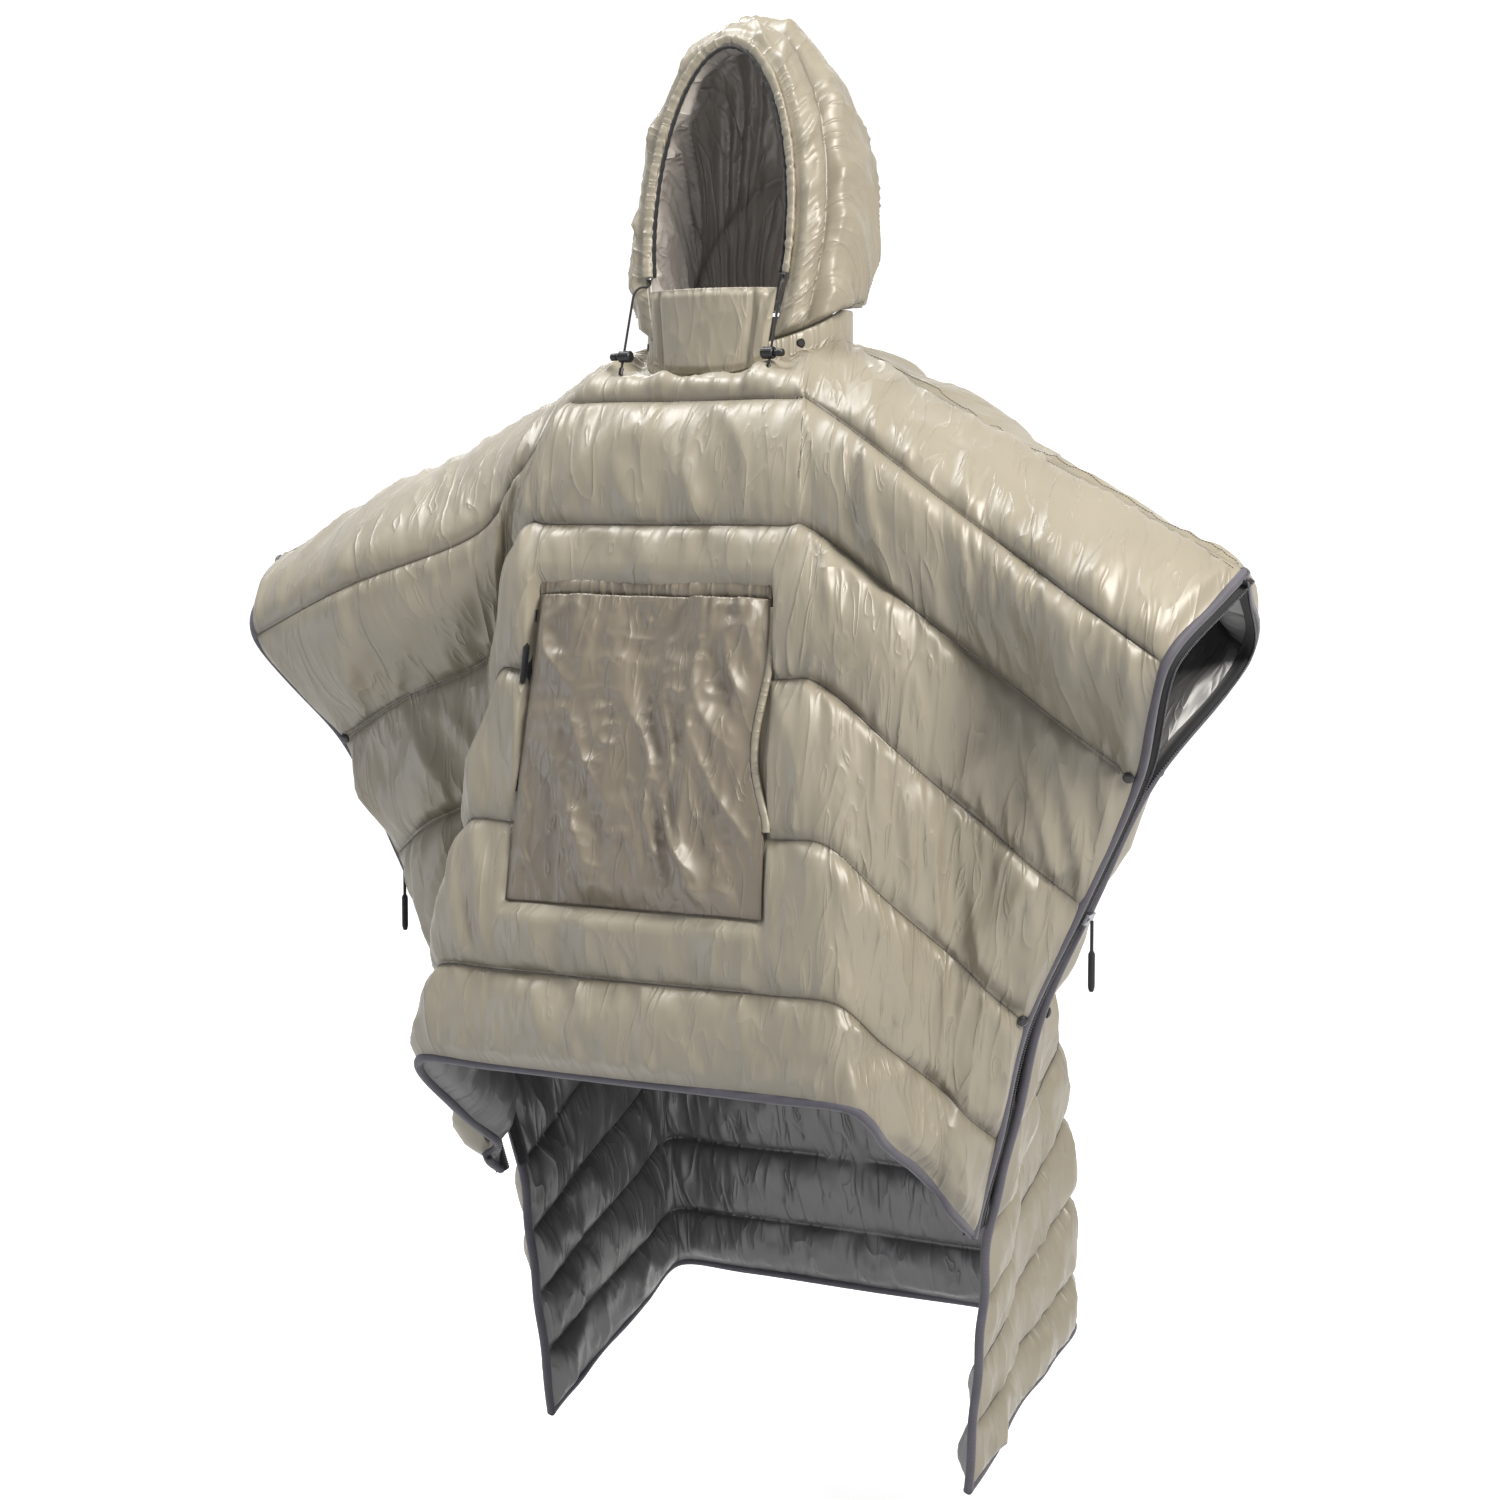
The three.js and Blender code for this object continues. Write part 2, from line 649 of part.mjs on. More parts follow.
function toGeometry(solid) {
  const mesh = solid.getMesh();
  const geometry = new THREE.BufferGeometry();
  geometry.setAttribute("position", new THREE.Float32BufferAttribute(mesh.vertProperties, 3));
  geometry.setIndex(new THREE.Uint32BufferAttribute(mesh.triVerts, 1));
  return geometry;
}

// ---- the front pocket ----
// It stands away from the quilt as if a hand were inside, and gapes at its top.
function pocketGap(down, across) {
  const acrossShape = Math.sin(Math.PI * across) ** pocketSideCurve;
  const downShape = (pocketMouthShare + pocketDownShare * down) * (1 - down ** pocketBottomCurve);
  return clearance + pocketBulge * acrossShape * downShape;
}
const pocketPlaces = shares(8).map((row) => shares(8).map((column) => onFront(
  THREE.MathUtils.lerp(pocketTopLine, pocketBottomLine, row),
  2 * column - 1,
)));
const pocketGrid = pocketPlaces.map((row) => row.map((spot) => spot.point));
const pocketNormals = pocketPlaces.map((row) => row.map((spot) => spot.normal));
addPiece(
  "pocket_panel",
  slab(pocketGrid, pocketNormals, pocketGap, (j, i) => pocketGap(j, i) + pocketThickness),
  "pocket",
);

// A flat strip on the front, along a list of places, with its width across it.
function frontStrip(places, width, lift, thickness) {
  const points = places.map((p) => p.point);
  const normals = places.map((p) => p.normal);
  const last = points.length - 1;
  const across = points.map((unused, k) => {
    const along = points[Math.min(k + 1, last)].clone().sub(points[Math.max(k - 1, 0)]);
    return along.cross(normals[k]).normalize();
  });
  const half = width / 2;
  const outline = [
    [-half, lift],
    [half, lift],
    [half, lift + thickness],
    [-half, lift + thickness],
  ];
  return sweep(points, across, normals, outline);
}

// The welt over the pocket's mouth, just above the pocket.
const weltLine = pocketTopLine - weltRise;
const weltPlaces = shares(8).map((column) => onFront(weltLine, 2 * column - 1));
addPiece("pocket_top_welt", frontStrip(weltPlaces, weltHeight, clearance, pocketZipThickness), "pocket");

// One side of the pocket has a zip, the other a piped hand opening.
const besideMiddle = pocketZipGap + pocketZipWidth / 2;
const sidePlaces = (sign) => shares(4).map((share) => {
  const line = THREE.MathUtils.lerp(pocketZipTop, pocketZipBottom, share);
  return onFront(line, sign * besidePocket(line, besideMiddle));
});
const pipedPlaces = sidePlaces(1);
addPiece(
  "pocket_side_welt_left",
  frontStrip(pipedPlaces, pipedWeltWidth, clearance, pocketZipThickness),
  "shell",
);
const zipPlaces = sidePlaces(-1);
const zipStart = zipPlaces[0];
const zipFinish = zipPlaces[zipPlaces.length - 1];
const straightZip = [zipStart, { point: zipFinish.point, normal: zipStart.normal }];
addPiece(
  "pocket_zip_tape",
  frontStrip(straightZip, pocketZipWidth, pocketZipLift, pocketZipThickness),
  "zip",
);

// A zip pull: a short cord with a braided tab, hanging from its top end.
function pullGeometry() {
  const end = -pullCordLength;
  return turned([
    [0, end - pullTabLength],
    [pullTabRadius * 0.6, end - pullTabLength],
    [pullTabRadius, end - pullTabLength + pullTabTip],
    [pullTabRadius, end - pullTabShoulder],
    [pullCordRadius, end],
    [pullCordRadius, 0],
    [0, 0],
  ], 10);
}

// A slider rides on the tape: a plate with its two lips bent round the tape's edges.
function addPocketSlider() {
  const along = zipFinish.point.clone().sub(zipStart.point).normalize();
  const out = zipStart.normal.clone();
  const across = along.clone().cross(out).normalize();
  out.crossVectors(across, along).normalize();
  const half = pocketZipWidth / 2 + clearance;
  const plate = pocketZipLift + pocketZipThickness + clearance;
  const outer = half + sliderOverhang;
  const outline = [
    [-outer, pocketZipLift + clearance],
    [-half, pocketZipLift + clearance],
    [-half, plate],
    [half, plate],
    [half, pocketZipLift + clearance],
    [outer, pocketZipLift + clearance],
    [outer, plate + sliderThickness],
    [-outer, plate + sliderThickness],
  ];
  const top = zipStart.point.clone().addScaledVector(along, clearance);
  const ends = [top, top.clone().addScaledVector(along, sliderLength)];
  addPiece("pocket_slider", sweep(ends, [across, across], [out, out], outline), "metal");
  const pull = addPiece("pocket_pull", pullGeometry(), "cord");
  const hinge = top.clone().addScaledVector(along, sliderLength / 2);
  hinge.addScaledVector(out, plate + sliderThickness + pullCordRadius + clearance);
  stand(pull, hinge, along.clone().negate());
}
addPocketSlider();

// ---- side zip sliders ----
for (const side of sides) {
  const centre = (line) => {
    const onLine = zipCorners[side.name].filter((entry) => entry.line === line);
    const corners = onLine.flatMap((entry) => entry.corners);
    return corners.reduce((sum, p) => sum.add(p), vec(0, 0, 0)).divideScalar(corners.length);
  };
  const upper = centre(slidingLines[0]);
  const along = centre(slidingLines[2]).sub(upper).normalize();
  const start = upper.addScaledVector(along, sideSliderStart);
  const through = vec(0, 1, 0).addScaledVector(along, -along.y).normalize();
  const out = through.clone().cross(along).normalize();
  out.multiplyScalar(Math.sign(out.x) * side.sign);
  const reach = (corner) => corner.clone().sub(start).dot(out);
  const allCorners = zipCorners[side.name].flatMap((entry) => entry.corners);
  const plateOut = Math.max(...allCorners.map(reach)) + clearance;
  const half = sideSliderSpan / 2;
  const tongue = sideSliderTongue / 2;
  const outline = [
    [plateOut, -half],
    [plateOut + sliderThickness, -half],
    [plateOut + sliderThickness, half],
    [plateOut, half],
    [plateOut, tongue],
    [plateOut - sideSliderLip, tongue],
    [plateOut - sideSliderLip, -tongue],
    [plateOut, -tongue],
  ];
  const ends = [start, start.clone().addScaledVector(along, sliderLength)];
  addPiece(`side_slider_${side.name}`, sweep(ends, [out, out], [through, through], outline), "metal");
  const pull = addPiece(`side_pull_${side.name}`, pullGeometry(), "cord");
  const hinge = start.clone().addScaledVector(along, sliderLength / 2);
  hinge.addScaledVector(out, plateOut + sliderThickness + pullCordRadius + clearance);
  stand(pull, hinge, vec(0, 0, 1));
}

// ---- snaps ----
const snapProfile = [
  [0, 0],
  [snapRadius, 0],
  [snapRadius, snapHeight * 0.5],
  [snapRadius * snapCrown, snapHeight],
  [0, snapHeight],
];
for (const side of sides) {
  for (const [name, line, lift] of [["upper", 2, upperSnapLift], ["lower", 4, lowerSnapLift]]) {
    for (const [part, onSide] of [["cap", onFront], ["stud", onBack]]) {
      const edge = onSide(line, side.sign * edgeStation).point;
      const inner = onSide(line, side.sign * (edgeStation - 0.5)).point;
      const share = snapInset / edge.distanceTo(inner);
      const spot = onSide(line, side.sign * (edgeStation - 0.5 * share));
      const base = spot.point.clone().addScaledVector(spot.normal, lift);
      const snap = addPiece(`${name}_snap_${part}_${side.name}`, turned(snapProfile), "plastic");
      stand(snap, base, spot.normal);
    }
  }
}

// The hood's base is snapped to the band at both sides.
for (const side of sides) {
  const corner = (index) => neckPoint((side.sign * 2 * Math.PI * index) / bandFacets, 0, neckSnapHeight);
  const start = corner(neckSnapFacet);
  const end = corner(neckSnapFacet + 1);
  const facing = vec(end.y - start.y, start.x - end.x, 0).normalize().multiplyScalar(side.sign);
  const base = start.lerp(end, 0.5);
  stand(addPiece(`neck_snap_${side.name}`, turned(snapProfile), "plastic"), base, facing);
}

// ---- the drawcord's free ends, with their eyelets, locks and stoppers ----
function springGeometry(length) {
  const steps = springTurns * 10;
  const points = shares(steps).map((share) => {
    const angle = 2 * Math.PI * springTurns * share;
    return vec(springRadius * Math.cos(angle), length * share, springRadius * Math.sin(angle));
  });
  const radial = points.map((p) => vec(p.x, 0, p.z).normalize());
  const upward = points.map(() => vec(0, 1, 0));
  return sweep(points, radial, upward, ring(springWire, 6));
}

// The lock's own Y runs outward along the button's travel and its own Z along the cord.
const lockHalf = lockHeight / 2;
const cordBore = drawcordRadius + clearance;
const boreRadius = buttonRadius - buttonBoreInset;
const stemRadius = boreRadius - clearance;
const boreFloor = -lockHalf + lockFloor;
const stemEnd = lockCordOffset - cordBore - clearance - buttonWall;
function crossHole(centre, length) {
  const hole = new THREE.CylinderGeometry(cordBore, cordBore, 4 * lockRadius, 12);
  hole.rotateX(Math.PI / 2);
  hole.translate(0, centre, 0);
  const solid = toSolid(hole);
  if (length === 0) return solid;
  hole.translate(0, length, 0);
  const slot = new THREE.BoxGeometry(2 * cordBore, length, 4 * lockRadius);
  slot.translate(0, centre + length / 2, 0);
  return solid.add(toSolid(hole)).add(toSolid(slot));
}
function lockGeometry() {
  const body = turned([
    [0, -lockHalf],
    [lockRadius - lockChamfer, -lockHalf],
    [lockRadius, -lockHalf + lockChamfer],
    [lockRadius, lockHalf - lockRimWidth],
    [lockRadius - lockRimWidth, lockHalf],
    [boreRadius, lockHalf],
    [boreRadius, boreFloor],
    [0, boreFloor],
  ], 20);
  return toGeometry(toSolid(body).subtract(crossHole(lockCordOffset, 0)));
}
function buttonGeometry() {
  const headStart = lockHalf + buttonTravel;
  const body = turned([
    [0, stemEnd],
    [stemRadius, stemEnd],
    [stemRadius, headStart + clearance],
    [buttonRadius, headStart + clearance],
    [buttonRadius, headStart + buttonReach],
    [buttonRadius - buttonChamfer, headStart + buttonReach + buttonChamfer],
    [0, headStart + buttonReach + buttonChamfer],
  ], 20);
  return toGeometry(toSolid(body).subtract(crossHole(lockCordOffset, buttonTravel)));
}

for (const side of sides) {
  const outward = vec(side.sign, 0, 0);
  const mirror = ([x, y, z]) => vec(side.sign * x, y, z);
  const top = mirror(freeCordTop);
  const drop = mirror(freeCordDrop);
  const along = drop.clone().normalize();
  const depth = vec(0, 1, 0).addScaledVector(along, -along.y).normalize();
  const at = (distance) => top.clone().addScaledVector(along, distance);
  const endIndex = side.sign > 0 ? rim.length - 1 : 0;
  const inChannel = (index) => rimPath[index].clone()
    .addScaledVector(rimOut[index], drawcordOut)
    .addScaledVector(rimNormals[index], middle);
  const mouth = inChannel(endIndex);
  const leaving = mouth.clone().sub(inChannel(endIndex - side.sign)).normalize();
  const from = mouth.clone().addScaledVector(leaving, clearance);
  const bend = smooth([from, from.clone().addScaledVector(leaving, freeCordLead), top, at(drop.length())]);
  const freePoints = [...shares(8).map((share) => bend.getPoint((2 * share) / 3)), at(drop.length())];
  const last = freePoints.length - 1;
  const tangents = freePoints.map((unused, k) => (
    freePoints[Math.min(k + 1, last)].clone().sub(freePoints[Math.max(k - 1, 0)]).normalize()
  ));
  const firstAxes = tangents.map((tangent) => (
    outward.clone().addScaledVector(tangent, -tangent.dot(outward)).normalize()
  ));
  const secondAxes = tangents.map((tangent, k) => tangent.clone().cross(firstAxes[k]));
  addPiece(
    `drawcord_end_${side.name}`,
    sweep(freePoints, firstAxes, secondAxes, ring(drawcordRadius, 8)),
    "cord",
  );
  const eyelet = turned([
    [eyeletBore, 0],
    [eyeletRadius, 0],
    [eyeletRadius, eyeletThickness],
    [eyeletBore, eyeletThickness],
    [eyeletBore, 0],
  ]);
  stand(addPiece(`cord_eyelet_${side.name}`, eyelet, "metal"), from, leaving);
  const third = outward.clone().cross(along);
  const middlePoint = at(lockDrop).addScaledVector(outward, -lockCordOffset);
  const lock = addPiece(`cord_lock_${side.name}`, lockGeometry(), "plastic");
  place(lock, middlePoint, third, outward, along);
  const button = addPiece(`lock_button_${side.name}`, buttonGeometry(), "plastic");
  place(button, middlePoint, third, outward, along);
  const springStart = middlePoint.clone().addScaledVector(outward, boreFloor + springWire + clearance);
  const springLength = stemEnd - boreFloor - 2 * (springWire + clearance);
  const spring = addPiece(`lock_spring_${side.name}`, springGeometry(springLength), "metal");
  place(spring, springStart, third, outward, along);
  const stopper = turned([
    [0, 0],
    [stopperRadius, 0],
    [stopperRadius, stopperLength],
    [0, stopperLength],
  ], 10);
  stand(addPiece(`cord_stopper_${side.name}`, stopper, "cord"), at(drop.length() + clearance), along);
}

export default quilt;
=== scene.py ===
import json
import math
import bpy
import numpy as np
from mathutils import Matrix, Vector


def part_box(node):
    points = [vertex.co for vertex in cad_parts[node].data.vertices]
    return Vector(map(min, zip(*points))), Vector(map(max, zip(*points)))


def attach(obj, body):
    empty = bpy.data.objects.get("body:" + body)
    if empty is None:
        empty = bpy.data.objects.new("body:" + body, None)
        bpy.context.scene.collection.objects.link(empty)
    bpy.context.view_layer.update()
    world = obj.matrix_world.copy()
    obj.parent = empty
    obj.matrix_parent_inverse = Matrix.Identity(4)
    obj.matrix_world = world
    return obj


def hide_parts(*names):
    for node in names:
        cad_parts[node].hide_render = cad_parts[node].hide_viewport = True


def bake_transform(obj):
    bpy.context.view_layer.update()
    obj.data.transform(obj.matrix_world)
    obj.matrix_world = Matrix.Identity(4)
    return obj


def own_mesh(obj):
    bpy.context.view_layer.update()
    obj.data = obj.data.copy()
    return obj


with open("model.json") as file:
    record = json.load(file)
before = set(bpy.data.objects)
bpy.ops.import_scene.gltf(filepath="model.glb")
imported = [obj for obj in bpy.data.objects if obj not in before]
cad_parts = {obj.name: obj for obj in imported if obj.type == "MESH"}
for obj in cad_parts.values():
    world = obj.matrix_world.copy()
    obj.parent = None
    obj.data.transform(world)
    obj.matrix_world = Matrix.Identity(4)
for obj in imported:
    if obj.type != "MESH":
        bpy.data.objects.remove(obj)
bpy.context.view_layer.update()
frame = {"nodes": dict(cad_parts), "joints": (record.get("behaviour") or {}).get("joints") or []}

nodes = frame["nodes"]
joints = {joint["name"]: joint for joint in frame["joints"]}
scene = bpy.context.scene

# ---- camera ----
view = {
    "azimuth": math.radians(30),
    "elevation": math.radians(5),
    "distance": 3.5,
    "lens": 69.7,                    # mm, on a 36 mm sensor
    "aim": Vector((0, 0, -0.488)),
}
away = Vector((
    math.sin(view["azimuth"]) * math.cos(view["elevation"]),
    -math.cos(view["azimuth"]) * math.cos(view["elevation"]),
    math.sin(view["elevation"]),
))
cameraData = bpy.data.cameras.new("studioCamera")
cameraData.lens = view["lens"]
camera = bpy.data.objects.new("studioCamera", cameraData)
camera.location = view["aim"] + away * view["distance"]
camera.rotation_euler = (-away).to_track_quat("-Z", "Y").to_euler()
scene.collection.objects.link(camera)
scene.camera = camera
print("camera placed")


# ---- small tools ----
def fromHex(text):
    # sRGB to linear: the low part is a straight line, the rest a 2.4 power
    values = np.array([int(text[i:i + 2], 16) / 255 for i in (0, 2, 4)])
    linear = np.where(values <= 0.04045, values / 12.92, ((values + 0.055) / 1.055) ** 2.4)
    return (*linear.tolist(), 1)


def unit(vectors):
    # each vector divided by its length
    return vectors / np.maximum(np.linalg.norm(vectors, axis=-1, keepdims=True), 1e-12)


def ease(value):
    # 0 below 0, 1 above 1, and 3x^2 - 2x^3 between
    clipped = np.clip(value, 0, 1)
    return clipped * clipped * (3 - 2 * clipped)


def mix(low, high, share):
    # low where share is 0, high where it is 1, straight between
    return low + (high - low) * share


def smoothLine(points, at):
    # a cubic between neighbours, whose slope at each point is half the step from the point before to the one after
    points = np.asarray(points, float)
    run = np.concatenate([2 * points[:1] - points[1:2], points, 2 * points[-1:] - points[-2:-1]])
    at = np.clip(np.asarray(at, float), 0, 1) * (len(points) - 1)
    k = np.minimum(at.astype(int), len(points) - 2)
    t = (at - k).reshape((-1,) + (1,) * (points.ndim - 1))
    a, b, c, d = (run[k + i] for i in range(4))
    slopeB, slopeC = (c - a) / 2, (d - b) / 2
    return (2 * b - 2 * c + slopeB + slopeC) * t ** 3 + (3 * c - 3 * b - 2 * slopeB - slopeC) * t ** 2 + slopeB * t + b


def softNoise(x, y, seed):
    # a random number from 0 to 1 at each corner of a unit square, eased in between
    table = np.random.default_rng(seed).random((128, 128))
    cornerX, cornerY = np.floor(x).astype(int), np.floor(y).astype(int)
    shareX, shareY = ease(x - cornerX), ease(y - cornerY)
    upper = mix(table[cornerX % 128, cornerY % 128], table[(cornerX + 1) % 128, cornerY % 128], shareX)
    lower = mix(table[cornerX % 128, (cornerY + 1) % 128], table[(cornerX + 1) % 128, (cornerY + 1) % 128], shareX)
    return mix(upper, lower, shareY)


def creaseNoise(x, y, seed, sharpness=1.4):
    # sharp ridges where the soft noise crosses its middle, from 0 to 1
    ridge = 1 - np.abs(2 * softNoise(x, y, seed) - 1)
    return ridge ** sharpness


def lengths(points, axis):
    # distance run along one axis of a grid of points
    steps = np.linalg.norm(np.diff(points, axis=axis), axis=-1)
    start = np.zeros_like(np.take(steps, [0], axis=axis))
    return np.cumsum(np.concatenate([start, steps], axis=axis), axis=axis)


def softened(field, passes):
    # each point halfway to the mean of its four neighbours, again and again
    for _ in range(passes):
        padded = np.pad(field, [(1, 1), (1, 1), (0, 0)], mode="edge")
        around = padded[:-2, 1:-1] + padded[2:, 1:-1] + padded[1:-1, :-2] + padded[1:-1, 2:]
        field = 0.5 * field + 0.125 * around
    return field


def gridNormals(grid, sign):
    # square to the grid's two directions at each point; sign picks the side
    return unit(np.cross(np.gradient(grid, axis=1), np.gradient(grid, axis=0)) * sign)


def gridQuads(height, width, closedAcross=False):
    # the four corners of every cell of a grid, numbered row by row; the last column may join the first
    j, i = np.meshgrid(np.arange(height - 1), np.arange(width if closedAcross else width - 1), indexing="ij")
    nextI = (i + 1) % width
    return np.stack([j * width + i, (j + 1) * width + i, (j + 1) * width + nextI, j * width + nextI], -1).reshape(-1, 4)


def makePiece(name, points, faces, material, uv=None, shade=None):
    # points and faces into a mesh, turned outwards if its volume comes out negative
    points = np.asarray(points, float).reshape(-1, 3)
    listed = faces.tolist() if isinstance(faces, np.ndarray) else faces
    a, b, c, d = (points[[face[k] for face in listed]] for k in range(4))
    volume = np.einsum("ij,ij->", a, np.cross(b, c) + np.cross(c, d))
    if volume < 0:
        listed = [face[::-1] for face in listed]
    mesh = bpy.data.meshes.new(name)
    mesh.from_pydata(points.tolist(), [], listed)
    mesh.update()
    mesh.polygons.foreach_set("use_smooth", np.ones(len(mesh.polygons), bool))
    if uv is not None:
        index = np.zeros(len(mesh.loops), np.int32)
        mesh.loops.foreach_get("vertex_index", index)
        layer = mesh.uv_layers.new(name="clothMetres")
        layer.data.foreach_set("uv", np.asarray(uv, np.float32).reshape(-1, 2)[index].ravel())
    # shade: a painted shade at each point, which the cloth material reads to darken its colour
    if shade is not None:
        attribute = mesh.attributes.new("paintedShade", "FLOAT", "POINT")
        attribute.data.foreach_set("value", np.asarray(shade, np.float32).ravel())
    mesh.materials.append(material)
    piece = bpy.data.objects.new(name, mesh)
    scene.collection.objects.link(piece)
    return piece


def slabPiece(name, outer, inner, material, uv, shade):
    # two grids of points facing apart, joined round their border
    height, width = outer.shape[:2]
    quads = gridQuads(height, width)
    count = height * width
    border = np.concatenate([
        np.arange(width), np.arange(1, height) * width + width - 1,
        (height - 1) * width + np.arange(width - 2, -1, -1), np.arange(height - 2, 0, -1) * width,
    ])
    onward = np.roll(border, -1)
    rim = np.stack([border, onward, onward + count, border + count], -1)
    faces = np.concatenate([quads, quads[:, ::-1] + count, rim])
    points = np.concatenate([outer.reshape(-1, 3), inner.reshape(-1, 3)])
    return makePiece(name, points, faces, material, np.tile(uv.reshape(-1, 2), (2, 1)), np.tile(shade.ravel(), 2))


def tubePiece(name, path, first, second, outline, material):
    # an outline carried along a path: each of its points lies at path + a * first + b * second
    outline = np.asarray(outline, float)
    if outline.ndim == 2:
        outline = np.repeat(outline[None], len(path), 0)
    points = path[:, None] + outline[..., :1] * first[:, None] + outline[..., 1:] * second[:, None]
    count, around = points.shape[:2]
    ends = [list(range(around)), list(range(count * around - 1, (count - 1) * around - 1, -1))]
    faces = gridQuads(count, around, True).tolist() + ends
    uv = np.stack(np.meshgrid(lengths(path[None], 1)[0], lengths(outline[:1], 1)[0], indexing="ij"), -1)
    return makePiece(name, points, faces, material, uv)


def resample(path, step, *fields):
    # points a fixed distance apart along a path, with the fields that go with them
    run = lengths(path[None], 1)[0]
    at = np.arange(step / 2, run[-1], step)
    return [np.stack([np.interp(at, run, field[:, k]) for k in range(3)], -1) for field in (path, *fields)]


def scatterPiece(name, shape, faces, origins, axes, material):
    # copies of a small solid, each at its own origin and turned to its own three axes
    points = origins[:, None] + np.einsum("tk,nkc->ntc", np.asarray(shape, float), axes)
    offsets = np.arange(len(origins))[:, None, None] * len(shape)
    return makePiece(name, points, (np.asarray(faces)[None] + offsets).reshape(-1, len(faces[0])), material)


def place(piece, body, slotName, *stoodFor):
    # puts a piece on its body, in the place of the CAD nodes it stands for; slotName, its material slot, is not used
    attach(piece, body)
    if stoodFor:
        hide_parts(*stoodFor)


def addNode(tree, kind, settings=None, links=None):
    # settings are properties or input values by name or number; links are inputs fed by (node, output)
    node = tree.nodes.new(kind)
    for name, value in (settings or {}).items():
        if isinstance(name, str) and hasattr(node, name):
            setattr(node, name, value)
        else:
            node.inputs[name].default_value = value
    for name, (source, output) in (links or {}).items():
        tree.links.new(source.outputs[output], node.inputs[name])
    return node


def newMaterial(name):
    # an empty node tree
    material = bpy.data.materials.new(name)
    material.use_nodes = True
    material.node_tree.nodes.clear()
    return material, material.node_tree


# ---- materials ----
crinkles = {
    "stretch": (1.0, 0.3, 1.0),      # across and down the cloth: the lines run mostly down it
    "coarse": (24.0, 0.13, 3.0),     # scale, spacing, sharpness
    "fine": (58.0, 0.17, 3.5),
    "coarseHeight": 1.7,             # times the fine ones
}


def creaseLines(tree, source, scale, spacing, sharpness):
    # thin raised lines where soft noise passes its turning values, flat between them
    noise = addNode(
        tree, "ShaderNodeTexNoise", {"Scale": scale, "Detail": 1.2, "Distortion": 0.45}, {"Vector": (source, "Vector")})
    folded = addNode(tree, "ShaderNodeMath", {"operation": "PINGPONG", 1: spacing}, {0: (noise, "Fac")})
    raised = addNode(
        tree, "ShaderNodeMapRange", {"From Max": spacing, "To Min": 1.0, "To Max": 0.0}, {"Value": (folded, "Value")})
    return addNode(tree, "ShaderNodeMath", {"operation": "POWER", 1: sharpness}, {0: (raised, "Result")})


def mixedTone(tree, low, high, source, output):
    # between two colours by a node's value
    return addNode(
        tree, "ShaderNodeMix", {"data_type": "RGBA", 6: fromHex(low), 7: fromHex(high)}, {0: (source, output)})


bandPitch = 0.314                    # metres between a wave texture's bands at scale 1


def clothMaterial(name, tones, roughness, crinkle, sheen, weavePitch=0.0011):
    # Woven nylon, calendered to a shine: bright soft glints on every crinkle, and a painted shade, read from a point
    # attribute, that darkens the colour towards the third tone along the stitched rows and seams and in the valleys
    # between puffs.
    # The crinkles are long down the cloth and short across it. Real threads are 0.2 mm apart; they are
    # drawn at weavePitch so that they show.
    material, tree = newMaterial(name)
    uv = addNode(tree, "ShaderNodeUVMap", {"uv_map": "clothMetres"})
    seam = addNode(tree, "ShaderNodeAttribute", {"attribute_name": "paintedShade"})
    patches = addNode(tree, "ShaderNodeTexNoise", {"Scale": 9.0, "Detail": 3.0}, {"Vector": (uv, "UV")})
    tone = mixedTone(tree, tones[0], tones[1], patches, "Fac")
    # painted shade: the colour darkens towards the third tone where the point attribute is high
    dark = addNode(tree, "ShaderNodeMix", {"data_type": "RGBA", 7: fromHex(tones[2])}, {0: (seam, "Fac"), 6: (tone, 2)})
    stretched = addNode(
        tree, "ShaderNodeVectorMath", {"operation": "MULTIPLY", 1: crinkles["stretch"]}, {0: (uv, "UV")})
    coarse = creaseLines(tree, stretched, *crinkles["coarse"])
    fine = creaseLines(tree, stretched, *crinkles["fine"])
    both = addNode(
        tree, "ShaderNodeMath", {"operation": "MULTIPLY_ADD", 1: crinkles["coarseHeight"]},
        {0: (coarse, "Value"), 2: (fine, "Value")},
    )
    crinkled = addNode(tree, "ShaderNodeBump", {"Strength": 1.0, "Distance": crinkle}, {"Height": (both, "Value")})
    weave = addNode(
        tree, "ShaderNodeTexWave", {"Scale": bandPitch / weavePitch, "bands_direction": "DIAGONAL"},
        {"Vector": (uv, "UV")},
    )
    woven = addNode(
        tree, "ShaderNodeBump", {"Strength": 0.18, "Distance": 0.00008},
        {"Height": (weave, "Fac"), "Normal": (crinkled, "Normal")},
    )
    gloss = addNode(
        tree, "ShaderNodeMapRange", {"To Min": roughness - 0.06, "To Max": roughness + 0.1},
        {"Value": (patches, "Fac")},
    )
    shader = addNode(
        tree, "ShaderNodeBsdfPrincipled",
        {"IOR": 1.53, "Sheen Weight": sheen, "Sheen Roughness": 0.3, "Specular IOR Level": 0.85},
        {"Base Color": (dark, 2), "Roughness": (gloss, "Result"), "Normal": (woven, "Normal")},
    )
    addNode(tree, "ShaderNodeOutputMaterial", links={"Surface": (shader, "BSDF")})
    return material


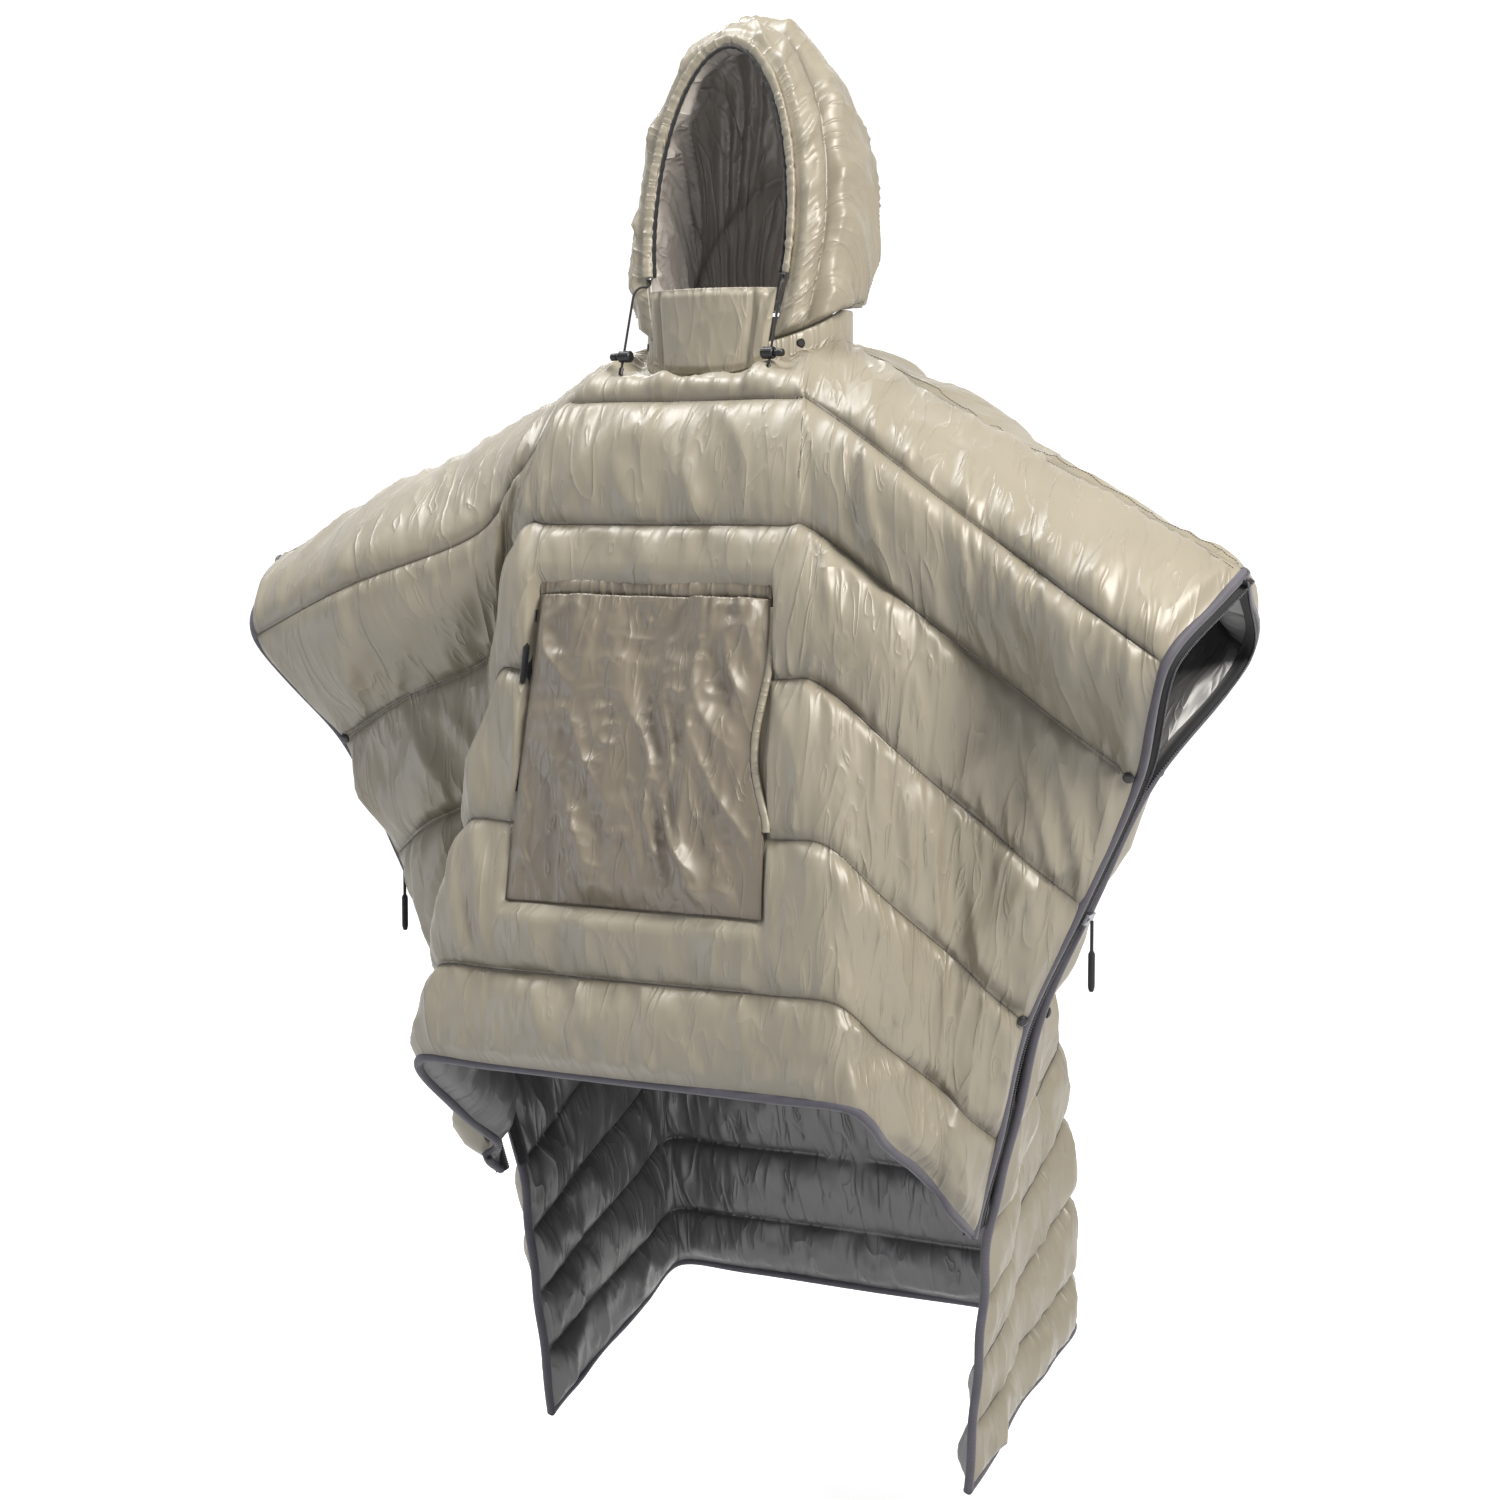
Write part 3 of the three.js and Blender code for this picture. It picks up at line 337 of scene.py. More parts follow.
def tapeMaterial(name, tones, roughness, ribPitch, bump):
    # Grosgrain or zip tape: ribs across its length, matt, a little lighter on the ribs, in random patches.
    material, tree = newMaterial(name)
    uv = addNode(tree, "ShaderNodeUVMap", {"uv_map": "clothMetres"})
    ribs = addNode(
        tree, "ShaderNodeTexWave", {"Scale": bandPitch / ribPitch, "bands_direction": "X"}, {"Vector": (uv, "UV")})
    ribPatches = addNode(tree, "ShaderNodeTexNoise", {"Scale": 40.0, "Detail": 4.0}, {"Vector": (uv, "UV")})
    share = addNode(tree, "ShaderNodeMath", {"operation": "MULTIPLY"}, {0: (ribs, "Fac"), 1: (ribPatches, "Fac")})
    tone = mixedTone(tree, tones[0], tones[1], share, "Value")
    raised = addNode(tree, "ShaderNodeBump", {"Strength": 0.7, "Distance": bump}, {"Height": (ribs, "Fac")})
    shader = addNode(
        tree, "ShaderNodeBsdfPrincipled", {"Roughness": roughness, "IOR": 1.5, "Sheen Weight": 0.3},
        {"Base Color": (tone, 2), "Normal": (raised, "Normal")},
    )
    addNode(tree, "ShaderNodeOutputMaterial", links={"Surface": (shader, "BSDF")})
    return material


def hardMaterial(name, tones, roughness, metallic, grain, bump):
    # Moulded plastic, plated die-casting or hard-twisted thread: a fine grain, worn a little brighter.
    material, tree = newMaterial(name)
    place = addNode(tree, "ShaderNodeTexCoord")
    speckle = addNode(tree, "ShaderNodeTexNoise", {"Scale": grain, "Detail": 4.0}, {"Vector": (place, "Object")})
    tone = mixedTone(tree, tones[0], tones[1], speckle, "Fac")
    raised = addNode(tree, "ShaderNodeBump", {"Strength": 0.35, "Distance": bump}, {"Height": (speckle, "Fac")})
    gloss = addNode(
        tree, "ShaderNodeMapRange", {"To Min": roughness - 0.07, "To Max": roughness + 0.1},
        {"Value": (speckle, "Fac")},
    )
    shader = addNode(
        tree, "ShaderNodeBsdfPrincipled", {"Metallic": metallic},
        {"Base Color": (tone, 2), "Normal": (raised, "Normal"), "Roughness": (gloss, "Result")},
    )
    addNode(tree, "ShaderNodeOutputMaterial", links={"Surface": (shader, "BSDF")})
    return material


shellNylon = clothMaterial("shellNylonChampagne", ("968f7e", "a59d8b", "5e5749"), 0.42, 0.0006, 0.25)
pocketNylon = clothMaterial("pocketNylonTaupe", ("7a7162", "8d8373", "4f473c"), 0.42, 0.0007, 0.25)
# the body's lining is the same cloth as the hood's lining, painted darker: a painted shade copy of it
shadedLiningNylon = clothMaterial("liningNylonGrey", ("666667", "767677", "3f3f40"), 0.40, 0.0007, 0.2)
hoodLiningNylon = clothMaterial("hoodLiningNylonGrey", ("a8a29d", "bdb7b1", "6e6964"), 0.36, 0.0010, 0.2)
bindingTape = tapeMaterial("bindingGrosgrainViolet", ("4b4a54", "7a7782"), 0.62, 0.0016, 0.0002)
zipTape = tapeMaterial("zipTapePolyester", ("131418", "2a2b31"), 0.75, 0.0012, 0.00015)
braidedCord = tapeMaterial("braidedPolyesterBlack", ("0e0e10", "2e2e33"), 0.8, 0.0018, 0.0003)
stitchThread = hardMaterial("stitchThreadPolyester", ("575045", "6b6456"), 0.7, 0.0, 900.0, 0.00002)
zipCoil = hardMaterial("zipCoilNylon", ("1b1c20", "74757c"), 0.42, 0.0, 500.0, 0.00002)
blackAcetal = hardMaterial("mouldedAcetalBlack", ("0c0c0e", "1c1c1f"), 0.4, 0.0, 900.0, 0.00003)
platedZinc = hardMaterial("platedZincDark", ("6c6e72", "a9abb0"), 0.3, 1.0, 700.0, 0.00003)
print("materials made")

# ---- drawcord free ends ----
drawcord = {
    "radius": 0.0015,
    "lead": 0.009,                   # straight out of the channel
    "leadWay": (0, -0.11, -0.99),
    "top": (0.099, -0.103, 0.050),   # where it starts to hang straight, at the left
    "drop": (0, -0.026, -0.084),
    "steps": 48,
    "bendShare": 2 / 3,              # of the curve through all four points; the rest is straight
}
for side, sign in (("left", 1), ("right", -1)):
    low, high = (np.array(corner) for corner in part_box("cord_eyelet_" + side))
    mouth = (low + high) / 2
    mouth[2] = high[2]
    top = np.array(drawcord["top"]) * (sign, 1, 1)
    end = top + np.array(drawcord["drop"])
    lead = mouth + np.array(drawcord["leadWay"]) * drawcord["lead"]
    bend = smoothLine([mouth, lead, top, end], np.linspace(0, drawcord["bendShare"], drawcord["steps"]))
    bend = np.concatenate([bend, mix(bend[-1], end, np.linspace(0, 1, drawcord["steps"])[1:, None])])
    along = unit(np.gradient(bend, axis=0))
    first = unit(np.array((sign, 0, 0)) - along * (along @ np.array((sign, 0, 0)))[:, None])
    second = np.cross(along, first)
    around = np.linspace(0, 2 * np.pi, 12, endpoint=False)
    circle = drawcord["radius"] * np.stack([np.cos(around), np.sin(around)], -1)
    cordPiece = tubePiece("drawcordEnd_" + side, bend, first, second, circle, braidedCord)
    place(cordPiece, "root", "cord", "drawcord_end_" + side)
print("cords made")

# ---- how the cloth hangs, as in the CAD, in metres ----
neck = {"halfWidth": 0.125, "halfDepth": 0.112, "frontZ": -0.050, "backZ": 0.002}
arm = {
    "length": 0.592, "droop": math.radians(26), "sweep": 0.080, "sweepLost": 0.05,
    "lift": 0.055, "liftFrom": 0.575, "liftTo": 0.860, "steep": math.radians(6),
}
panel = {
    "halfTop": 0.165, "spread": 0.026,
    "pocketHalf": 0.154, "pocketSpread": 0.008, "pocketTop": 2.5, "pocketBottom": 4.5,
    "creaseInset": 0.006, "creaseDrop": 0.004, "creaseToPocket": 0.012, "thickness": 0.0126, "clearance": 0.0003,
    "sleeveFront": 0.115, "sleeveBack": 0.150, "edgeGap": 0.022, "snapEase": 0.010,
}
frontLines = np.array([0, 0.110, 0.260, 0.420, 0.575, 0.730, 0.860])
frontCentreZ = [neck["frontZ"], -0.072, -0.215, -0.385, -0.560, -0.730, -0.845]
frontCentreY = [0, -0.150, -0.200, -0.228, -0.256, -0.278, -0.288]
backLines = np.array([0, 0.110, 0.260, 0.420, 0.575, 0.730, 0.860, 0.950, 1.030, 1.105, 1.185])
backCentreZ = [neck["backZ"], -0.072, -0.225, -0.385, -0.545, -0.705, -0.840, -0.945, -1.045, -1.145, -1.225]
backCentreY = [0, 0.160, 0.195, 0.215, 0.232, 0.248, 0.262, 0.275, 0.290, 0.306, 0.320]
sleeveEnd = np.array([
    neck["halfWidth"] + arm["length"] * math.cos(arm["droop"]), -arm["sweep"], -arm["length"] * math.sin(arm["droop"]),
])


def sideEdge(length):
    # down from the sleeve's end: square to the droop, steeper past the front hem, eased outwards near it
    slanted = min(length, arm["liftTo"])
    lift = arm["lift"] * float(ease((slanted - arm["liftFrom"]) / (arm["liftTo"] - arm["liftFrom"])))
    downward = np.array([-math.sin(arm["droop"]), 0, -math.cos(arm["droop"])])
    steeper = np.array([-math.sin(arm["steep"]), 0, -math.cos(arm["steep"])])
    shift = np.array([lift, arm["sweepLost"] * length, 0])
    return sleeveEnd + downward * slanted + steeper * (length - slanted) + shift


def topEdge(face, stations):
    # round the neck's ellipse up to station 2, then straight out to the sleeve end at 6
    distance = np.abs(stations)
    turn = np.minimum(distance / 2, 1) * np.pi / 2
    lowZ = neck["frontZ"] if face < 0 else neck["backZ"]
    ring = np.stack([
        neck["halfWidth"] * np.sin(turn),
        face * (neck["halfDepth"] * np.cos(turn) + panel["clearance"]),
        lowZ * np.cos(turn),
    ], -1)
    share = np.clip((distance - 2) / 4, 0, 1)[:, None]
    shoulder = mix(np.array([neck["halfWidth"], 0, 0]), sleeveEnd, share) + (0, face * panel["clearance"], 0)
    points = np.where((distance > 2)[:, None], shoulder, ring)
    return points * np.stack([np.where(stations < 0, -1, 1), np.ones_like(distance), np.ones_like(distance)], -1)


# across, inward and drop place the fold between crease and edge; near and far are how far the cloth stands off.
# Each goes from its first value at the shoulder to its second at the front hem.
backFold = {
    "across": (0.6, 0.6), "inward": (0.55, 0.6), "drop": (0.55, 0.55), "near": (0.020, 0.008), "far": (0.022, 0.012),
}
hangs = {
    -1: {
        1: {
            "across": (0.6, 0.5), "inward": (0.6, 0.62), "drop": (0.6, 0.55), "near": (0.026, 0.004),
            "far": (0.020, 0.016),
        },
        -1: {
            "across": (0.2, 0.5), "inward": (0.8, 0.82), "drop": (0.5, 0.74), "near": (0.0, 0.010),
            "far": (0.024, 0.016),
        },
    },
    1: {1: backFold, -1: backFold},
}


def lineControls(face, line, hang):
    # seven points along one quilt line: centre, pocket's side, crease, two sides of the fold, its valley, edge
    centreZ = (frontCentreZ if face < 0 else backCentreZ)[line]
    centreY = (frontCentreY if face < 0 else backCentreY)[line]
    if line == 0:
        return topEdge(face, np.arange(7.0))
    level = min(line, 6)
    half = panel["halfTop"] + panel["spread"] * (level - 1)
    pocketHalf = panel["pocketHalf"] + panel["pocketSpread"] * (level - panel["pocketTop"])
    edge = sideEdge(float((frontLines if face < 0 else backLines)[line]))
    if line == 1:
        edge[1] += -panel["sleeveFront"] if face < 0 else panel["sleeveBack"]
    else:
        edge[1] += face * (panel["edgeGap"] + (panel["snapEase"] if line == 2 else 0))
    share = level / 6
    at = {name: mix(*pair, share) for name, pair in hang.items()}
    ridge = np.array([half, centreY - face * panel["creaseInset"], centreZ - panel["creaseDrop"]])
    valley = mix(ridge, edge, np.array([at["across"], at["inward"], at["drop"]]))
    near = (ridge + valley) / 2 + np.array([0.5, face * 0.86, 0]) * at["near"]
    far = (valley + edge) / 2 + np.array([0.35, face * 0.9, 0]) * at["far"]
    pocketSide = (min(pocketHalf, half - panel["creaseToPocket"]), centreY, centreZ)
    return np.array([(0, centreY, centreZ), pocketSide, ridge, near, valley, far, edge])


quilting = {
    "softening": 40,                 # passes over the directions that the cloth puffs in
    "seamLevel": -0.0050,            # outer cloth along a stitched row, from the CAD's outer face
    "crest": 0.0085,                 # and at the middle between two rows
    "middle": -0.0060,               # the fill's middle plane
    "clothGap": 0.0006,
    "edgeLevel": -0.0030, "edgeFade": 0.024, "neckFade": 0.018,
    "puffPower": 0.6,
    "drift": (0.09, 0.06),           # how far apart the ridges wander, across and down
    "puckers": [(0.0058, 0.016, 0.028, 0.06), (0.0085, 0.031, 0.060, 0.12)],   # height, pitch, reach, length
    "puckerMiddle": 0.42,            # share of a ridge that stands below the arch; the same for folds
    "folds": [                       # height, pitch, length, slant
        (0.0180, 0.090, 0.34, 0.5), (0.0100, 0.046, 0.17, -0.6), (0.0085, 0.060, 0.22, 1.4),
    ],
    "foldMiddle": 0.40,
    "broad": [(0.024, 0.17, 0.9, 0.3), (0.014, 0.11, 0.5, -0.5)],   # soft folds that cross the rows
    "crumple": 0.0020, "crumplePitch": 0.022, "crumpleLength": 0.03,
    "deepest": 0.0008,               # what is left of a cloth over the middle plane
    "cornerWidth": 0.45, "cornerHeight": 0.30,   # in stations and rows
    "liningShare": 0.8,              # the lining puffs less than the shell
    "fill": 0.35,
}


def clothFace(face, rowsPerLine, columns):
    # control points along each quilt line, joined down the cloth by smooth lines, then across by smooth lines
    lines = frontLines if face < 0 else backLines
    controls = []
    for line in range(len(lines)):
        plus, minus = (lineControls(face, line, hangs[face][sign]) for sign in (1, -1))
        controls.append(np.concatenate([minus[:0:-1] * (-1, 1, 1), plus]))
    even = np.linspace(0, len(lines) - 1, rowsPerLine * (len(lines) - 1) + 1)
    v = even - 0.6 * np.sin(2 * np.pi * even) / (2 * np.pi)   # rows crowd towards the stitched lines
    u = np.linspace(-6, 6, columns)
    downward = smoothLine(np.array(controls), v / (len(lines) - 1))
    grid = np.swapaxes(smoothLine(np.swapaxes(downward, 0, 1), (u + 6) / 12), 0, 1)
    exact = topEdge(face, u)
    grid = grid + (exact - grid[0]) * (1 - ease(v / 0.5))[:, None, None]
    normals = gridNormals(grid, face)
    normals = unit(softened(normals, quilting["softening"]))
    side = np.where(np.abs(exact[:, 0]) > neck["halfWidth"] + 0.001, np.sign(exact[:, 0]), 0)
    upward = np.stack([side * math.sin(arm["droop"]), np.zeros_like(side), np.cos(arm["droop"] * np.abs(side))], -1)
    share = (1 - ease(v / 0.35))[:, None, None]
    normals = unit(normals * (1 - share) + upward * share)
    across = lengths(grid, 1)
    across = across - across[:, columns // 2][:, None]
    down = lengths(grid, 0)
    return {
        "grid": grid, "normals": normals, "across": across, "down": down,
        "v": np.repeat(v[:, None], columns, 1), "u": np.repeat(u[None], len(v), 0),
        "toSide": np.minimum(across[:, -1:] - across, across - across[:, :1]), "toHem": down[-1:] - down,
        "rowsPerLine": rowsPerLine, "rowPlaces": v,
    }


def sampleField(face, field, v, u):
    # a field of the face's grid at any quilt line and station, straight between grid points
    height, width = field.shape[:2]
    y = np.clip(np.interp(v, face["rowPlaces"], np.arange(height)), 0, height - 1.001)
    x = np.clip((np.asarray(u) + 6) / 12 * (width - 1), 0, width - 1.001)
    j, i = y.astype(int), x.astype(int)
    fy, fx = y - j, x - i
    if field.ndim == 3:
        fy, fx = fy[..., None], fx[..., None]
    return mix(mix(field[j, i], field[j, i + 1], fx), mix(field[j + 1, i], field[j + 1, i + 1], fx), fy)


def puffOf(face, seed, lineEnd, depth=1.0):
    # Height of one cloth over its stitched rows: a steep-sided arch between rows; sharp ridges across each
    # row, short and close together near it, longer and wider apart beyond; folds that slant down the cloth
    # in three directions, each strong in patches; and a crumple over everything.
    share = face["v"] - np.floor(np.minimum(face["v"], lineEnd - 1e-6))
    arch = np.sin(np.pi * np.clip(share, 0, 1)) ** quilting["puffPower"]
    rowLength = np.gradient(face["down"], axis=0) / np.gradient(face["v"], axis=0)
    toSeam = np.minimum(share, 1 - share) * rowLength
    row = np.round(face["v"])
    s, t = face["across"], face["down"]
    height = quilting["seamLevel"] + (quilting["crest"] * depth - quilting["seamLevel"]) * arch
    drift = softNoise(s / quilting["drift"][0], t / quilting["drift"][1], seed)
    for k, (size, pitch, far, long) in enumerate(quilting["puckers"]):
        ridges = creaseNoise(s / pitch + drift + 7 * row, t / long, seed + 1 + k)
        pucker = size * depth * (ridges - quilting["puckerMiddle"])
        height = height + pucker * np.exp(-toSeam / far) * ease(toSeam / (0.4 * far))
    for k, (size, pitch, long, slant) in enumerate(quilting["folds"]):
        bent = s + slant * 0.5 * t + 0.05 * softNoise(s / 0.16, t / 0.13, seed + 4 + k)
        folds = creaseNoise(bent / pitch, (t - 0.4 * slant * s) / long, seed + 8 + k, 1.5)
        patch = ease(1.8 * softNoise(s / 0.19 + 9 * k, t / 0.22, seed + 12 + k) - 0.35)
        fold = size * depth * mix(0.2, 1, arch) * patch * (folds - quilting["foldMiddle"])
        height = height + fold * ease(toSeam / 0.014)
    for k, (size, pitch, long, slant) in enumerate(quilting["broad"]):
        bent = s + slant * t + 0.06 * softNoise(s / 0.3, t / 0.3, seed + 20 + k)
        height = height + size * depth * (softNoise(bent / pitch, t / long, seed + 24 + k) - 0.45) * mix(0.35, 1, arch)
    crumple = creaseNoise(
        s / quilting["crumplePitch"] + 2 * drift, t / quilting["crumpleLength"] + 2 * drift, seed + 16, 1.0)
    height = height + quilting["crumple"] * (crumple - 0.5) * mix(0.3, 1, arch) * ease(toSeam / 0.006)
    toEdge = np.minimum(face["toSide"], face["toHem"])
    atEdge = ease(toEdge / quilting["edgeFade"]) * ease(face["down"] / quilting["neckFade"])
    height = quilting["edgeLevel"] + (height - quilting["edgeLevel"]) * atEdge
    # painted shade: darkest close to each stitched row, and a little darker in the valleys between the ridges near it
    shade = np.exp(-toSeam / 0.0045) * 0.8 * ease(face["v"] / 0.3) + 0.25 * (1 - arch) * (1 - ridges)
    return np.maximum(height, quilting["middle"] + quilting["deepest"]), np.clip(shade, 0, 1)


snap = {
    "halfHeight": 0.0018, "radius": 0.0065,
    "bindingInset": 0.007, "bindingFade": 0.006,   # from the cloth's edge
}


def seatCloth(face, height, spot):
    # lifts or lowers the cloth near a snap until its surface passes under it, and leaves it alone at the binding
    j, i = np.unravel_index(np.argmin(np.linalg.norm(face["grid"] - spot, axis=-1)), face["grid"].shape[:2])
    target = spot - face["normals"][j, i] * snap["halfHeight"]
    surface = face["grid"] + face["normals"] * height[..., None]
    offset = np.einsum("ijk,ijk->ij", target - surface, face["normals"])
    distance = np.linalg.norm(target - surface, axis=-1)
    near = 1 - ease((distance - snap["radius"]) / (2 * snap["radius"]))
    return height + offset * near * ease((face["toSide"] - snap["bindingInset"]) / snap["bindingFade"])


front = clothFace(-1, 20, 401)
back = clothFace(1, 14, 345)
frontHeight, frontShade = puffOf(front, 11, 6)
backHeight, backShade = puffOf(back, 41, 10)
onPocket = (
    ease((1.08 - np.abs(front["u"])) / 0.10)
    * ease((front["v"] - 2.38) / 0.07) * ease((4.58 - front["v"]) / 0.07)
)
frontHeight = mix(frontHeight, np.minimum(frontHeight, -0.0022), onPocket)
for side in ("left", "right"):
    for level in ("upper", "lower"):
        frontHeight = seatCloth(front, frontHeight, np.mean(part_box(f"{level}_snap_cap_{side}"), axis=0))
        backHeight = seatCloth(back, backHeight, np.mean(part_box(f"{level}_snap_stud_{side}"), axis=0))
print("cloth shaped")


def addQuiltedFace(name, face, height, shade, seed, lineEnd):
    # the grid moved along its normals: shell from the fill's middle outwards, lining from there inwards
    uv = np.stack([face["across"], face["down"]], -1)
    grid, normals = face["grid"], face["normals"]
    outer = grid + normals * height[..., None]
    middleOut = grid + normals * quilting["middle"]
    shell = slabPiece(name + "ShellCloth", outer, middleOut, shellNylon, uv, shade)
    place(shell, "root", "shell_cloth", name + "_shell", name + "_fill")
    inward, innerShade = puffOf(face, seed, lineEnd, quilting["liningShare"])
    depth = -panel["thickness"] - inward
    # thin where the first row turns its corner, so that the lining stays behind the shell
    aside, below = (np.abs(face["u"]) - 2) / quilting["cornerWidth"], (face["v"] - 1) / quilting["cornerHeight"]
    top = quilting["middle"] - quilting["clothGap"]
    depth = mix(depth, top - quilting["deepest"], np.exp(-aside ** 2 - below ** 2))
    middleIn = grid + normals * top
    inner = grid + normals * np.minimum(depth, top - quilting["deepest"])[..., None]
    lining = slabPiece(name + "LiningCloth", middleIn, inner, shadedLiningNylon, uv, innerShade)
    place(lining, "root", "lining_cloth", name + "_lining")
    face["outer"] = outer


addQuiltedFace("front", front, frontHeight, frontShade, 71, 6)
addQuiltedFace("back", back, backHeight, backShade, 91, 10)
print("front and back quilted")

# ---- edge bindings and side zips ----
binding = {"over": 0.008, "beyond": 0.0035, "half": 0.0056, "wall": 0.0009, "wave": 0.0012}
zipStrip = {
    "inside": 0.010, "beyond": 0.0085, "level": -0.0138, "thickness": 0.0012,
    "toothPitch": 0.0030, "tooth": (0.0024, 0.0013, 0.0011), "toothBeyond": 0.0004,
}
boxShape = [(x, y, z) for x in (-0.5, 0.5) for y in (-0.5, 0.5) for z in (-0.5, 0.5)]
boxFaces = [(0, 1, 3, 2), (4, 6, 7, 5), (0, 4, 5, 1), (2, 3, 7, 6), (0, 2, 6, 4), (1, 5, 7, 3)]


def borderOf(face, which):
    # the border's points, its outward directions and the cloth's normals there
    if which == "hem":
        line, inner, normals = face["grid"][-1], face["grid"][-3], face["normals"][-1]
    else:
        edge, step = (-1, -3) if which == "left" else (0, 2)
        line, inner, normals = face["grid"][:, edge], face["grid"][:, step], face["normals"][:, edge]
    along = unit(np.gradient(line, axis=0))
    out = unit(np.cross(along, normals))
    out = out * np.sign(np.einsum("ij,ij->i", out, line - inner))[:, None]
    square = np.cross(out, along)
    return line, out, unit(square * np.sign(np.einsum("ij,ij->i", square, normals))[:, None])


def bindingOutline():
    # a tape folded round the edge: an ellipse's far side, open towards the cloth, with its wall's thickness
    turn = np.radians(np.linspace(-152, 152, 25))
    centre = (binding["beyond"] - binding["over"]) / 2
    wide = (binding["beyond"] + binding["over"]) / 2
    outerArc = np.stack([centre + wide * np.cos(turn), -panel["thickness"] / 2 + binding["half"] * np.sin(turn)], -1)
    innerArc = np.stack([
        centre + (wide - binding["wall"]) * np.cos(turn),
        -panel["thickness"] / 2 + (binding["half"] - binding["wall"]) * np.sin(turn),
    ], -1)
    return np.concatenate([outerArc, innerArc[::-1]])


def addBinding(name, node, face, which):
    # the folded tape's outline carried along the border, which waves a little
    line, out, normals = borderOf(face, which)
    run = lengths(line[None], 1)[0]
    wave = binding["wave"] * np.sin(run / 0.031 + 5 * np.sin(run / 0.17))
    piece = tubePiece(name, line + normals * wave[:, None], out, normals, bindingOutline(), bindingTape)
    place(piece, "root", "binding_cloth", node)


def addZip(name, node, face, which):
    # a flat strip along the side border down to line 6, with a tooth every toothPitch at its outer edge
    last = 6 * face["rowsPerLine"] + 1
    line, out, normals = (part[:last] for part in borderOf(face, which))
    level, thick, inside, beyond = (zipStrip[key] for key in ("level", "thickness", "inside", "beyond"))
    strip = [(-inside, level), (beyond, level), (beyond, level - thick), (-inside, level - thick)]
    tape = tubePiece(name + "Tape", line, out, normals, strip, zipTape)
    at, outAt, normalAt = resample(line, zipStrip["toothPitch"], out, normals)
    along = unit(np.gradient(at, axis=0))
    origins = at + outAt * (beyond + zipStrip["toothBeyond"]) + normalAt * (level - thick / 2)
    width, depth, thin = zipStrip["tooth"]
    axes = np.stack([outAt * width, along * depth, normalAt * (thin + thick)], 1)
    teeth = scatterPiece(name + "Teeth", boxShape, boxFaces, origins, axes, zipCoil)
    place(tape, "root", "zip", node)
    place(teeth, "root", "zip")


for faceName, face in (("front", front), ("back", back)):
    addBinding(faceName + "HemBinding", faceName + "_hem_binding", face, "hem")
    for side in ("left", "right"):
        addBinding(f"{faceName}SideBinding_{side}", f"{faceName}_side_binding_{side}", face, side)
        addZip(f"{faceName}Zip_{side}_", f"{faceName}_zip_half_{side}", face, side)
print("edges bound")

# ---- stitching along the quilted rows and the shoulder seam ----
stitch = {
    "pitch": 0.0042, "length": 0.0030, "width": 0.0007, "proud": 0.0004,
    "fromSide": 0.009,               # where the binding begins
    "underPocket": 1.05,             # stations hidden by the pocket
    "shoulderRow": 2,                # the grid row that the shoulder's thread runs along
    "shoulderFrom": 2.2, "shoulderFromSide": 0.012,
}
stitchPaths = []
for face, lineList in ((front, range(1, 6)), (back, range(1, 10))):
    for line in lineList:
        row = line * face["rowsPerLine"]
        shown = face["toSide"][row] > stitch["fromSide"]
        if face is front and line in (3, 4):
            shown = shown & (np.abs(face["u"][row]) >= stitch["underPocket"])
        shown = np.flatnonzero(shown)
        for run in np.split(shown, np.flatnonzero(np.diff(shown) > 1) + 1):
            stitchPaths.append((face["outer"][row, run], face["normals"][row, run]))
    row = stitch["shoulderRow"]
    for sign in (1, -1):
        outside = sign * face["u"][row] > stitch["shoulderFrom"]
        run = np.flatnonzero(outside & (face["toSide"][row] > stitch["shoulderFromSide"]))
        stitchPaths.append((face["outer"][row, run], face["normals"][row, run]))
origins, axes = [], []
for line, normals in stitchPaths:
    at, normalAt = resample(line, stitch["pitch"], normals)
    if len(at) < 3:
        continue
    along = unit(np.gradient(at, axis=0))
    normalAt = unit(normalAt)
    wide = np.cross(normalAt, along) * stitch["width"]
    origins.append(at + normalAt * stitch["proud"])
    axes.append(np.stack([along * stitch["length"], wide, normalAt * stitch["width"]], 1))
origins, axes = np.concatenate(origins), np.concatenate(axes)
threads = scatterPiece("quiltingStitches", boxShape, boxFaces, origins, axes, stitchThread)
place(threads, "root", "shell_cloth")
print("stitched")

# ---- front pocket ----
pocket = {
    "rows": 150, "columns": 140, "bulge": 0.020, "sideCurve": 0.6, "mouthShare": 0.6, "downShare": 0.8,
    "bottomCurve": 3, "thickness": 0.003, "wall": 0.0016, "pipeCurve": 0.15, "pipeFrom": 2.62, "pipeTo": 3.92,
    "fold": 0.0210, "slantingShare": 0.55, "crumple": 0.0034, "gather": 0.003,
    "pleatPitch": 0.062, "pleatLength": 0.34, "slantPitch": 0.034, "slantLength": 0.13, "slant": 0.55,
}


def pocketEdge(v):
    # station of the piped side: it curves in below the mouth and comes back out near the pocket's foot
    share = np.clip((v - pocket["pipeFrom"]) / (pocket["pipeTo"] - pocket["pipeFrom"]), 0, 1)
    return 1 - pocket["pipeCurve"] * np.sin(np.pi * share ** 1.5) ** 1.3


downShare, acrossShare = np.meshgrid(
    np.linspace(0, 1, pocket["rows"]), np.linspace(0, 1, pocket["columns"]), indexing="ij")
pocketV = mix(panel["pocketTop"], panel["pocketBottom"], downShare)
pocketU = mix(-1.0, pocketEdge(pocketV), acrossShare)
pocketBase = sampleField(front, front["grid"], pocketV, pocketU)
pocketNormals = unit(sampleField(front, front["normals"], pocketV, pocketU))
pocketAcross, pocketDown = lengths(pocketBase, 1), lengths(pocketBase, 0)
toSide, toFoot = np.minimum(acrossShare, 1 - acrossShare), 1 - downShare
